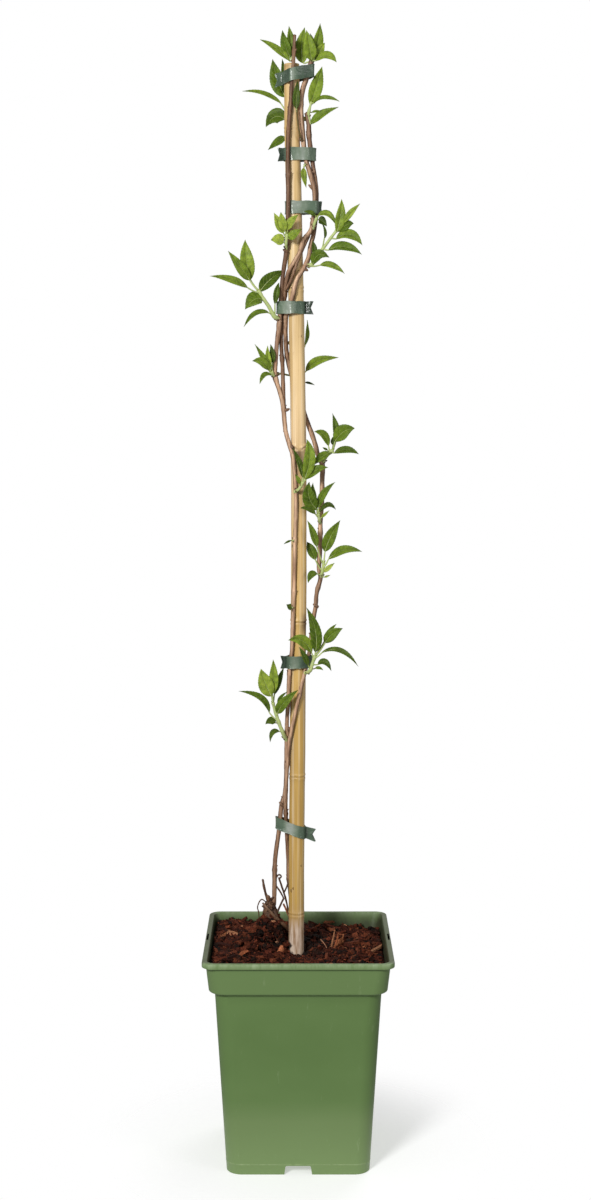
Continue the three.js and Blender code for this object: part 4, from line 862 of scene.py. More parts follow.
def add_fibres(soup, rng, reach):
    for _ in range(MIX["fibres"]):
        x, y = rng.uniform(-reach + 4, reach - 4, 2)
        if math.hypot(x - MIX["cane_x"], y) < MIX["fibres_off"]:
            continue
        turn, length = rng.uniform(*ROUND), rng.uniform(3, 12)
        heading = np.array([math.cos(turn), math.sin(turn), 0])
        line = []
        for k in range(4):
            p = np.array([x, y, 0]) + heading * length * (k / 3 - 0.5)
            p[:2] = np.clip(p[:2] + rng.normal(0, 0.8, 2), -reach, reach)
            p[2] = soil_height(p[0], p[1]) + 1.3 + rng.uniform(-0.8, 1.6)
            line.append(p)
        points, _ = curve_points(line, length / 7)
        pale = rng.uniform() < 0.15
        colour = np.array(CHIP[rng.integers(0, 4)]) * 0.7 if pale else BARK[rng.integers(0, 5)]
        tube(soup, points, np.linspace(rng.uniform(0.2, 0.42), 0.12, len(points)), 3, colour)


def make_substrate():
    soup = Soup()
    rng = np.random.default_rng(5)
    reach = SOIL_EDGE - 1.1
    add_fill(soup, rng)
    add_crumbs(soup, rng, reach)
    add_chips(soup, rng)
    add_straws(soup, rng)
    add_fibres(soup, rng, reach)
    soup.build("bark_mix", "substrate", ["soil"], sharp=50)


# Cane
CANE_LINE = [at(p) for p in [
    (296.1, 953, 0), (296.4, 905, 0), (296.4, 860, 0), (297.5, 755, 0), (297.8, 700, 0), (298.8, 580, 0),
    (298.8, 480, 0), (297.9, 400, 0), (296.4, 320, 0), (294, 200, 0), (292, 130, 0), (291.7, 64, 0),
]]
CANE_END = CANE_LINE[-1][2]
# The heights of the nodes down the front view, and how dark each one's scar is
CANE_NODES = [915, 777, 622, 446, 288, 128]
NODE_SCARS = [0.16, 0.28, 0.5, 0.85, 0.2, 0.12]
BUD_SIDE = math.radians(-82)
# The top end, from the rounded lip over the cut face into the bore: [radius, drop, how dark, how cut]
CANE_TOP = [
    (CANE["top_radius"] - 0.05, 0.35, 0, 0), (CANE["top_radius"] - 0.4, 0, 0, 0.5),
    (CANE["bore"] + 0.2, 0, 0.1, 0.5), (CANE["bore"], 0.4, 0.3, 0), (CANE["bore"] - 0.1, 14, 1, 0),
]
# Brown scuffs that run along the cane: [across, down, length, width, tone]
CANE_SCUFFS = [
    (291.4, 891, 5, 0.75, 0.75), (293, 888.6, 3, 0.6, 0.85), (300.6, 866, 1.6, 0.45, 0.7),
    (301, 336, 2, 0.5, 0.7), (302.6, 871, 4, 0.3, 0.5),
]
# Places in the front view: the top of the groove, a brown stain, and the shade beside the left stem
CANE_FRONT = -7
GROOVE_TOP = (298, 300, CANE_FRONT)
STAIN = (303, 624, -5)
LEE = (292, 785, CANE_FRONT)


def cane_x(z):
    return np.interp(z, [p[2] for p in CANE_LINE], [p[0] for p in CANE_LINE])


def cane_radius(z):
    t = (z - CANE["bottom"]) / (CANE_END - CANE["bottom"])
    return CANE["radius"] * (1 - t) + CANE["top_radius"] * t


def front_height(down):
    """The height of a row of the front view at the front of the cane."""
    return at((VIEW_MIDDLE[0], down, CANE_FRONT))[2]


def cane_levels(nodes):
    """Heights of the cane's rings, close together at its nodes."""
    z = np.arange(CANE["bottom"], CANE_END, 3.0).tolist()
    for level in nodes:
        z += [level + d for d in (-4, -2.8, -2, -1.5, -1.1, -0.8, -0.4, 0, 0.4, 0.8, 1.2, 1.8, 2.6)]
    z = np.array(sorted(z))
    z = z[np.concatenate([[True], np.diff(z) > 0.15])]
    return z[z < CANE_END - 0.6]


def flat_ring(x, radius, angles, z):
    return np.stack([x + radius * np.cos(angles), radius * np.sin(angles), np.full(len(angles), z)], axis=1)


def cane_ring(level, soft, nodes, angles):
    """One ring of the cane and its tint, from the swellings, scars, groove and stain that it crosses, and
    painted shade below the bud's node, at the top and beside the left stem.
    """
    foot_node, bud_node, groove_top = nodes[0], nodes[3], at(GROOVE_TOP)[2]
    off_bud = (angles - BUD_SIDE + math.pi) % TURN - math.pi
    radius = cane_radius(level) * (1 + 0.012 * soft) + np.zeros(len(angles))
    scars_and_shade = np.zeros(len(angles))
    for mark, strength in zip(nodes, NODE_SCARS):
        d = level - mark + (3.2 * bell(off_bud, 0.55) if mark == bud_node else 0)
        radius += (0.3 + 0.4 * strength) * bell(d - 1.1, 1.1) - 0.5 * strength * bell(d + 0.7, 0.5)
        radius += 0.3 * bell(d + 2.2, 1.3)
        scars_and_shade = np.maximum(scars_and_shade, strength * (0.5 * bell(d + 0.7, 0.6) + 0.16 * bell(d + 3, 3.4)))
    # A shallow groove runs down the front to the bud's node, with painted shade below it
    if bud_node - 4 < level < groove_top:
        share = min(1, (groove_top - level) / 40)
        radius -= 0.45 * share * bell(off_bud, 0.3)
        radius += 0.14 * share * bell(np.abs(off_bud) - 0.55, 0.2)
    below = bud_node - 4.5 - level
    if 0 < below < 40:
        scars_and_shade = np.maximum(scars_and_shade, 0.9 * bell(below, 20) * bell(off_bud + 0.2, 0.75))
    oval = 1 + 0.012 * np.cos(2 * angles + level * 0.002) + 0.004 * wander(angles * 3, 8, 3)
    tint = np.zeros((len(angles), 3))
    down_right = np.clip(np.cos(angles - math.radians(-35)), 0, 1) ** 6
    lee = np.clip(np.cos(angles - math.radians(-128)), 0, 1) ** 3
    tint[:, 0] = scars_and_shade + 0.75 * down_right * bell(level - at(STAIN)[2], 8.5, 4)
    # Painted shade darkens the top of the cane
    tint[:, 0] = np.maximum(tint[:, 0], 0.42 * bell(CANE_END - level, 5))
    tint[:, 0] += 0.17 * lee * bell(level - at(LEE)[2], 55, 4)
    tint[:, 2] = np.clip((foot_node - 3 - level) / 13, 0, 1)
    return flat_ring(cane_x(level), radius * oval, angles, level), tint


def make_cane():
    nodes = [front_height(down) for down in CANE_NODES]
    levels = cane_levels(nodes)
    angles = circle(40)
    parts = [cane_ring(z, soft, nodes, angles) for z, soft in zip(levels, wander(levels, 3, 4, 0.05))]
    for radius, drop, dark, cut in CANE_TOP:
        tint = np.tile([dark, cut, 0], (len(angles), 1))
        parts.append((flat_ring(cane_x(CANE_END), radius, angles, CANE_END - drop), tint))
    soup = Soup()
    close_loft(soup, [ring for ring, _ in parts], np.concatenate([tint for _, tint in parts]))
    for across, down, length, width, tone in CANE_SCUFFS:
        x, _, z = at((across, down, CANE_FRONT))
        radius = cane_radius(z) - width * 0.3
        y = -math.sqrt(max(radius ** 2 - (x - cane_x(z)) ** 2, 1))
        line = [np.array([x + 0.2 * k * k, y, z + k * length / 4]) for k in (-2, -1, 0, 1, 2)]
        points, where = curve_points(line, 0.5)
        thick = width * np.interp(where, (0, 0.3, 0.7, 1), (0.5, 1, 0.8, 0.4))
        tube(soup, points, thick, 10, (tone, 0, 0), lumps=0.25, seed=int(down))
    soup.build("bamboo_cane", "cane", ["cane"], sharp=60)


# Woody vine
# The three stems and the branch that crosses between them, each from its foot up
STEM_LEFT = [
    (274, 905, -2), (274.5, 887, -2), (275.1, 860, -2), (279, 830, 0), (281.7, 805, 1.5), (284.4, 796, 1.8),
    (286, 780, 2.3), (286.3, 760, 2.3), (286.6, 742, 1.5), (287, 720, 0), (288, 704, -3.4),
    (289.5, 670, -5.6),
    (291.8, 650, -7.7), (292.6, 630, -7.8), (293.6, 600, -8.3), (294.6, 560, -8.5), (294.9, 540, -8.6),
    (295.8, 515, -8.6), (295.9, 495, -8.6), (294.4, 471, -8.5), (292.5, 455, -7.9), (289.3, 444.6, -5.8),
    (285.5, 430, -2.8), (282, 400, -2.4),
    (276.3, 381, -3), (274.8, 375, -3), (275.6, 361, -3), (277, 343, -3), (279, 326, -3), (280, 314, -3),
    (281, 298, -3.2), (283, 275, -3.7), (286.4, 250, -6.5), (287.8, 219, -9), (288.2, 190, -9.4),
    (287.8, 160, -9.7), (288, 140, -9.6), (289.2, 117, -9.3), (290.8, 100, -9.2), (291.3, 85, -9.2),
    (293.1, 67, -9.2), (294.7, 35, -9),
]
STEM_MIDDLE = [
    (285.5, 432, -2.6), (284, 410, -1), (283.2, 389, 0), (282.4, 363, 1), (281.5, 350, 1.2),
    (281.1, 334, 1.6),
    (281.8, 319.5, 2), (283.2, 306, 1), (284.4, 298, -1), (288.7, 272, -7.2), (294.4, 262, -9.6),
    (300.2, 251.7, -8.8), (303.6, 240, -6.4), (311, 230, -3.8), (314.8, 197, -3.5), (313.7, 187, -3.5),
    (311.7, 179, -3.5), (308.8, 169, -3.5), (305.9, 160, -3.5), (303.6, 144, -3.4), (302.5, 133, -3.4),
    (300.9, 112, -4.5), (300.9, 100, -4.6), (302.6, 90, -3.4), (306, 79.5, -2.4), (309.5, 68, -2),
    (312, 60, -2.4),
]
STEM_RIGHT = [
    (290, 958, 9.4), (290, 935, 9.3), (291.5, 905, 9.4), (288.9, 879, 7.6), (288.5, 860, 7),
    (287.8, 850, 6.4),
    (286.7, 830, 4.6), (285.5, 805, -1), (286, 790, -3.2), (287, 770, -4.4), (288.9, 745, -6.3),
    (291.3, 732, -8), (294.4, 717, -9.4), (298, 701.5, -9.5), (301.6, 686, -9.2), (305, 672, -7.6),
    (308, 660, -5.5), (311, 640, -3), (313.9, 616, -2), (315.6, 607, -2), (316.7, 593, -2), (320.6, 577, -1),
    (319, 569, -0.5), (319.6, 556, 0), (320.2, 545, 0), (320.5, 520, 0), (321.8, 500, 0), (322.2, 480, 0),
    (322.2, 465, 0.6), (318, 455, 2), (315.4, 445, 3), (312.2, 435, 4.6), (308.4, 425, 6.8), (301, 403, 9.5),
    (293, 380, 9), (287, 355, 6.2), (285.6, 337, 3), (285.6, 320, 0), (286.6, 313, -3), (289, 306, -6.7),
    (291.8, 299, -8.8), (296.7, 280, -9.3), (304.2, 267.7, -6.5), (308.8, 257, -2.4), (310.5, 246, 0.8),
    (314, 232, 1.4), (316.5, 199, 0.6), (315.7, 184.5, 0.8), (314, 173, 1), (312.5, 162, 1),
    (309.9, 144, 1), (308.9, 134.6, 0.6), (308.6, 123, 0.2), (306.8, 113, 0),
]
CROSS_BRANCH = [(285.6, 291, -4), (290.5, 281, -8.6), (297, 263, -10.4), (303, 249, -8), (309, 236, -3.4)]
# The root collar, its stubs and roots, each with its radii
COLLAR = [
    ([(269.5, 900.5, -2), (269.5, 906, -2), (270, 914, -1), (271, 926, 0), (272, 944, 2), (273, 962, 2)],
     (2.8, 5.4, 5.9, 5.2, 4.6)),
    ([(262.6, 903, -9), (268, 909, -10.5), (275, 917, -8), (281, 923, -2), (288.5, 929, 7)],
     (0.9, 1.1, 1.4, 2.0, 2.3)),
    ([(274, 909, -2), (277, 925, -6), (279, 951, -9)], (2.6, 1.8)),
    ([(268, 910, 0), (262, 926, 4), (259, 944, 8)], (2.4, 1.6)),
    ([(268.5, 903, -2), (264.5, 889, -3), (262.7, 879.4, -3)], (1.3, 1.0)),
    ([(266, 902, -4), (261.4, 899.4, -6), (257.6, 906.6, -7), (258.6, 912, -6.5), (259.4, 921, -5)],
     (0.6, 0.5)),
]
# Thin dead twigs, each with the radius at its two ends
TWIGS = [
    ([(275, 879, -2.5), (279, 874.6, -3.5), (281.4, 876.4, -4.5), (279, 879, -5)], (0.9, 0.7)),
    ([(278.8, 877.6, -4.8), (283.3, 891, -3), (286, 900, 0), (288.6, 914, 5), (289.6, 930, 8.6)], (0.9, 0.8)),
    ([(275, 884, -3), (281, 893, -3.4), (284, 899, -2)], (0.8, 0.7)),
    ([(289.2, 878.5, 5.6), (286.2, 888, 2), (283.8, 893, -2.4)], (0.7, 0.7)),
    ([(283.8, 898, -2.6), (279.6, 907, -2.6), (276, 916, -2)], (0.9, 0.9)),
]
# Buds and twig stubs, each from its root to its tip
BUDS = [
    ((282.8, 806, 1.2), (279.4, 802, -1)), ((291.4, 446, -6), (292.8, 449, -8.5)),
    ((285.4, 410.4, -2.6), (289.6, 408.8, -3.8)), ((287.2, 252, -7), (283, 249.5, -8)),
    ((313.2, 188.6, -3.4), (308.6, 184.8, -3.8)), ((317.4, 607, -2), (313.2, 604, -4)),
    ((304.6, 269, -6.4), (308, 270.6, -6.8)), ((288.4, 731, 1), (289.6, 727, -1)),
    ((276.2, 376, -3.4), (271.8, 376.4, -4.5)), ((281, 318, -3.4), (276, 320.4, -4.6)),
]
# How pale each stem's bark looks, as [down, paleness] along it: the bark's own tone together with painted
# light and shade
PALE_LEFT = [
    (35, 0.1), (100, 0.08), (220, 0.05), (290, 0.15), (320, 0.6), (450, 0.7), (520, 1.0), (600, 0.95),
    (700, 0.6), (770, 0.55), (820, 0.3), (905, 0.12),
]
PALE_MIDDLE = [
    (60, 0.25), (104, 0.75), (170, 0.55), (192, 0.15), (236, 0.6), (290, 0.2), (346, 0.0), (430, 0.5),
]
PALE_RIGHT = [
    (113, 0.15), (200, 0.35), (280, 0.65), (345, 0.3), (430, 0.5), (535, 0.7), (597, 0.12), (685, 0.9),
    (730, 0.75), (780, 0.45), (840, 0.25), (950, 0.15),
]
PALE_BRANCH = [(0, 0.1), (1000, 0.1)]
# The radius of each stem at even steps along it
LEFT_RADII = (2.1, 2.05, 1.9, 1.85, 1.8, 1.85, 2.1, 2.05, 1.95, 1.85, 1.4)
MIDDLE_RADII = (1.9, 1.8, 1.9, 2.1, 2.1, 2, 2.3, 2.4, 2.3)
RIGHT_RADII = (2.3, 1.9, 1.7, 2, 2.2, 2.1, 2.1, 2, 2.2)
BRANCH_RADII = (1.3, 1.2)
BUD_SPACING = 58
CROWN_KNOBS = 44


def stem_points(line, step):
    return curve_points([at(p) for p in line], step)


def woody_stem(soup, line, radii, paleness, seed, highlight_side=-0.45):
    """A long stem with swollen nodes, small buds on alternate sides and a tint that wanders, with painted
    highlight and shade round it.
    """
    points, where = stem_points(line, 2.2)
    heights = [at((VIEW_MIDDLE[0], down, 0))[2] for down, _ in paleness]
    length = run_along(points)
    rng = np.random.default_rng(seed)
    radius = np.interp(where, np.linspace(0, 1, len(radii)), radii)
    radius = radius * (1 + 0.06 * wander(length, seed, 5, 0.11))
    place = rng.uniform(10, 40)
    side = 1.0
    while place < length[-1] - 12:
        radius = radius + 0.45 * bell(length - place, 2.2)
        i = int(np.searchsorted(length, place))
        out = unit(np.array([side, -0.4 + rng.uniform(-0.5, 0.3), 0.9]))
        root = points[i]
        tip = root + out * (radius[i] + 1.5)
        tube(soup, [root, (root + tip) / 2, tip], [1.1, 0.95, 0.3], 7, (0.3, 0.3, 0), lumps=0.1, seed=seed)
        side = -side
        place += rng.uniform(0.7, 1.3) * BUD_SPACING

    def bark(run, out):
        """A painted highlight along the front that faces the key light, painted shade at the sides, fainter
        behind, with drifting streaks.
        """
        faces_light = np.clip(out @ unit(np.array([highlight_side, -0.85, 0.2])), 0, 1)
        behind = np.clip(out @ unit(np.array([0.3, 1, 0])) * 1.6, 0, 1)
        height = np.interp(run, length, points[:, 2])
        light = np.interp(-height, [-h for h in heights], [p for _, p in paleness])
        drift = wander(run, seed + 1, 4, 0.03)
        streaks = wander(run * 0.35 + 9 * out[..., 0], seed + 3, 4, 0.6)
        pale = np.clip(light * (0.3 + 1.25 * faces_light ** 2) + 0.12 * (drift + streaks), 0, 1)
        dark = 0.66 - 0.3 * light - 0.75 * faces_light + 0.2 * wander(run, seed + 2, 4, 0.09) - 0.15 * streaks
        dark = np.clip(dark, 0, 0.8) * (1 - 0.75 * behind)
        return np.stack([np.maximum(pale, light * 0.6 * behind), dark, dark * 0], axis=-1)

    tube(soup, points, radius, 20, bark, lumps=0.05, seed=seed)


def crown_bark(run, out):
    """Painted shade on the right, and brown knots in painted light on the left."""
    dark = 0.6 + 0.34 * out[..., 0] + 0.3 * wander(run * 1.7 + 4 * out[..., 0], 71, 4, 0.9)
    light = 0.03 + 0.14 * wander(run * 1.1 + 5 * out[..., 1], 72, 4, 0.8)
    return np.stack([np.clip(light, 0, 0.3), np.clip(dark, 0, 0.9), dark * 0], axis=-1)


def add_collar(soup):
    """The crown, the pale root and the collar's stubs and thin roots, in the order of their rows."""
    looks = [crown_bark, (0.2, 0.28, 0)] + [(0.05, 0.55, 0)] * (len(COLLAR) - 2)
    for k, ((line, radii), look) in enumerate(zip(COLLAR, looks)):
        points, where = stem_points(line, 1.0)
        radius = np.interp(where, np.linspace(0, 1, len(radii)), radii)
        sides, lumps = 24 if radii[0] > 2 else 8, 0.3 if k == 0 else 0.16
        tube(soup, points, radius, sides, look, lumps=lumps, seed=40 + k)


def add_crown_knobs(soup):
    rng = np.random.default_rng(77)
    crown, _ = stem_points(COLLAR[0][0][:4], 1.0)
    for k in range(CROWN_KNOBS):
        heart = crown[rng.integers(0, len(crown) - 2)]
        out = unit(rng.normal(0, 1, 3) * np.array([1, 1, 0.7]) + np.array([0, -0.7, 0.2]))
        knob = [heart + out * reach for reach in (2.4, 4.4, 5.6 + rng.uniform(0, 1.8))]
        radii = np.array([1.9, 1.6, 0.5]) * rng.uniform(0.6, 1.2)
        # Knobs that face right get more painted shade
        look = (0.1 * rng.uniform(), np.clip(rng.uniform(0.2, 0.85) + 0.25 * out[0], 0, 0.92), 0)
        tube(soup, knob, radii, 8, look, lumps=0.3, seed=300 + k)


def add_twigs_and_buds(soup):
    for k, (line, radii) in enumerate(TWIGS):
        points, where = stem_points(line, 1.2)
        tube(soup, points, np.interp(where, (0, 1), radii), 8, (0.05, 0.6, 0), lumps=0.12, seed=60 + k)
    for k, (root, tip) in enumerate(BUDS):
        middle = ((root[0] + tip[0]) / 2, (root[1] + tip[1]) / 2, tip[2])
        points, where = stem_points([root, middle, tip], 0.6)
        radius = np.interp(where, (0, 0.5, 1), (1.7, 1.5, 0.7))
        tube(soup, points, radius, 9, (0.35, 0.3, 0), lumps=0.12, seed=80 + k)


def make_wood():
    soup = Soup()
    woody_stem(soup, STEM_LEFT, LEFT_RADII, PALE_LEFT, 21, highlight_side=-0.05)
    woody_stem(soup, STEM_MIDDLE, MIDDLE_RADII, PALE_MIDDLE, 22)
    woody_stem(soup, STEM_RIGHT, RIGHT_RADII, PALE_RIGHT, 23)
    woody_stem(soup, CROSS_BRANCH, BRANCH_RADII, PALE_BRANCH, 24)
    add_collar(soup)
    add_crown_knobs(soup)
    add_twigs_and_buds(soup)
    soup.build("kiwi_wood", "woody_vine", ["wood"])


# Ties
# Each tie's height in the front view, slope and stems, and its tail's side and length. Its tone runs from
# dark at 0 to pale at 1, and like its tail's tone holds painted shade as well as the tape's own colour.
# Across its front a painted highlight is palest at pale, spread mm wide.
TIES = [
    {"down": 75, "slope": 0.24, "stems": [STEM_LEFT, STEM_MIDDLE], "tail": -1, "length": 7,
     "tone": 0.2, "pale": 292.6, "spread": 2.2, "tail_tone": 0.35},
    {"down": 153.5, "slope": 0, "stems": [STEM_MIDDLE, STEM_RIGHT], "tail": -1, "length": 5,
     "tone": 0.38, "pale": 301, "spread": 6.5, "tail_tone": 0.12},
    {"down": 207, "slope": 0, "stems": [STEM_MIDDLE, STEM_RIGHT], "tail": 1, "length": 2,
     "tone": 0.4, "pale": 297, "spread": 6.5, "tail_tone": 0.3},
    {"down": 307.4, "slope": 0, "stems": [STEM_LEFT, STEM_MIDDLE, STEM_RIGHT], "tail": 1, "length": 7,
     "tone": 0.36, "pale": 289, "spread": 6.5, "tail_tone": 0.1},
    {"down": 662, "slope": 0.03, "stems": [STEM_LEFT, STEM_RIGHT], "tail": -1, "length": 5,
     "tone": 0.14, "pale": 294, "spread": 5, "tail_tone": 0.0},
    {"down": 831, "slope": -0.34, "stems": [STEM_LEFT, STEM_RIGHT], "tail": 1, "length": 9,
     "tone": 0.42, "pale": 290, "spread": 6.5, "tail_tone": 0.35},
]
# The radius of the tape's way round a stem
STEM_ROOM = 2.15


def crossing(line, z):
    """Where a stem is at a height."""
    points = [at(p) for p in line]
    for a, b in zip(points, points[1:]):
        if (a[2] - z) * (b[2] - z) <= 0 and a[2] != b[2]:
            return a + (b - a) * (z - a[2]) / (b[2] - a[2])
    return points[-1] if z > points[0][2] else points[0]


def hull(points):
    """The convex outline of flat points."""
    order = sorted(map(tuple, points))

    def half(run):
        chain = []
        for p in run:
            while len(chain) > 1:
                (ox, oy), (ax, ay) = chain[-2], chain[-1]
                if (ax - ox) * (p[1] - oy) - (ay - oy) * (p[0] - ox) > 1e-6:
                    break
                chain.pop()
            chain.append(p)
        return chain[:-1]

    return np.array(half(order) + half(order[::-1]))


def band_outline(spec, level):
    """The tie's loop round the cane and its stems, as even points."""
    points = []
    for lift in (-1, -0.5, 0, 0.5, 1):
        z = level + lift * (TIE["width"] / 2 + 1)
        members = [((cane_x(z), 0), cane_radius(z) + 0.1)]
        for line in spec["stems"]:
            slanted = crossing(line, z)
            own = crossing(line, z + spec["slope"] * (slanted[0] - cane_x(z)))
            members.append((own[:2], STEM_ROOM))
        for (x, y), radius in members:
            reach = radius + TIE["clearance"]
            points += [(x + reach * math.cos(a), y + reach * math.sin(a)) for a in circle(48)]
    outline = hull(points)
    closed = np.concatenate([outline, outline[:1]])
    run = run_along(closed)
    want = np.linspace(0, run[-1], TIE["steps"], endpoint=False)
    even = np.stack([np.interp(want, run, closed[:, k]) for k in (0, 1)], axis=1)
    for _ in range(3):
        even = (np.roll(even, 1, axis=0) + even * 2 + np.roll(even, -1, axis=0)) / 4
    return even


def thin_sheet(soup, middle, normals, thickness, closed, tint):
    """A sheet with two sides, from a grid of middle points. The tint is for one side's points."""
    half = normals * thickness / 2
    points = np.concatenate([(middle + half).reshape(-1, 3), (middle - half).reshape(-1, 3)])
    soup.add(points, sheet_faces(*middle.shape[:2], closed), None, np.concatenate([tint, tint]))


def add_band(soup, spec, level, outline, seed):
    """The tape that goes round: creased, a little curled at its edges, and toned, with a painted highlight
    across its front.
    """
    count, rows = len(outline), 9
    ahead = np.roll(outline, -1, axis=0) - np.roll(outline, 1, axis=0)
    normal = unit_rows(np.stack([ahead[:, 1], -ahead[:, 0]], axis=1))
    run = run_along(outline)
    fade = np.minimum(1, np.minimum(run, run[-1] - run) / 6)
    middle = np.zeros((count, rows, 3))
    normals = np.zeros((count, rows, 3))
    for j in range(rows):
        v = j / (rows - 1) - 0.5
        crease = 0.26 * wander(run + 5 * v, seed + j // 3, 5, 0.7)
        crease += 0.16 * wander(run + 3 * v, seed + 9, 4, 1.9)
        curl = 0.35 * (2 * v) ** 4
        edge = 0.3 * wander(run, seed + 20, 4, 0.35) * fade * (1 if v > 0 else -1) * abs(2 * v)
        middle[:, j, :2] = outline + normal * (crease * fade * 0.6 + 0.12 + curl)[:, None]
        middle[:, j, 2] = level + v * TIE["width"] + edge
        normals[:, j, :2] = normal
    middle[:, :, 2] += spec["slope"] * (middle[:, :, 0] - cane_x(level))
    # A painted highlight, palest at the tie's pale place across its front
    highlight_x = at((spec["pale"], spec["down"], -8))[0]
    tone = spec["tone"] + 0.4 * bell(outline[:, 0] - highlight_x, spec["spread"]) * (outline[:, 1] < 0)
    tone = np.clip(tone + 0.12 * wander(run, seed + 30, 4, 0.25), 0, 1)
    tints = np.repeat(np.stack([tone] * 3, axis=1), rows, axis=0)
    thin_sheet(soup, middle, normals, TIE["thickness"], True, tints)


def add_tail(soup, spec, level, end, seed):
    """Both ends of the tape, pinched flat and cut to a fishtail."""
    rng = np.random.default_rng(seed)
    steps, across = 14, 11
    t = np.linspace(0, 1, steps)[:, None]
    v = np.linspace(-0.5, 0.5, across)[None, :]
    for layer in (-1, 1):
        reach = spec["length"] * (0.72 + 0.34 * np.abs(2 * v)) + layer * 0.5
        spread = 0.24 + rng.uniform(0.7, 1.6) * t ** 2 + 0.25 * np.sin(t * 7 + layer + v * 3) * t
        x = end[0] + spec["tail"] * (t * reach - 0.3)
        z = level + v * TIE["width"] * (1 + 0.06 * t) + spec["slope"] * (x - cane_x(level))
        grid = np.stack([x, end[1] + layer * spread, z], axis=-1)
        if (layer > 0) == (spec["tail"] > 0):
            grid = grid[:, ::-1]
        out = np.broadcast_to([0.0, layer, 0.0], grid.shape)
        tint = np.full((steps * across, 3), spec["tail_tone"])
        thin_sheet(soup, grid, out, TIE["tail_thickness"], False, tint)


def add_staple(soup, spec, level, end):
    x, y = end[0] + spec["tail"] * 1.5, end[1] - 0.75
    z = level + spec["slope"] * (x - cane_x(level))
    line = [(x, y + 1.5, z - 3), (x, y, z - 3), (x, y - 0.05, z), (x, y, z + 3), (x, y + 1.5, z + 3)]
    points = [np.linspace(a, b, 4, endpoint=False) for a, b in zip(line, line[1:])]
    tube(soup, np.concatenate(points + [[line[-1]]]), 0.28, 8, GREY, 1)


def make_tie(spec, number, seed):
    soup = Soup()
    level = front_height(spec["down"])
    outline = band_outline(spec, level)
    end = outline[np.argmax(outline[:, 0] * spec["tail"])]
    add_band(soup, spec, level, outline, seed)
    add_tail(soup, spec, level, end, seed)
    if spec["length"] > 5:
        add_staple(soup, spec, level, end)
    soup.build(f"tie_band_{number}", f"tie_{number}", ["tie", "staple"], sharp=60)


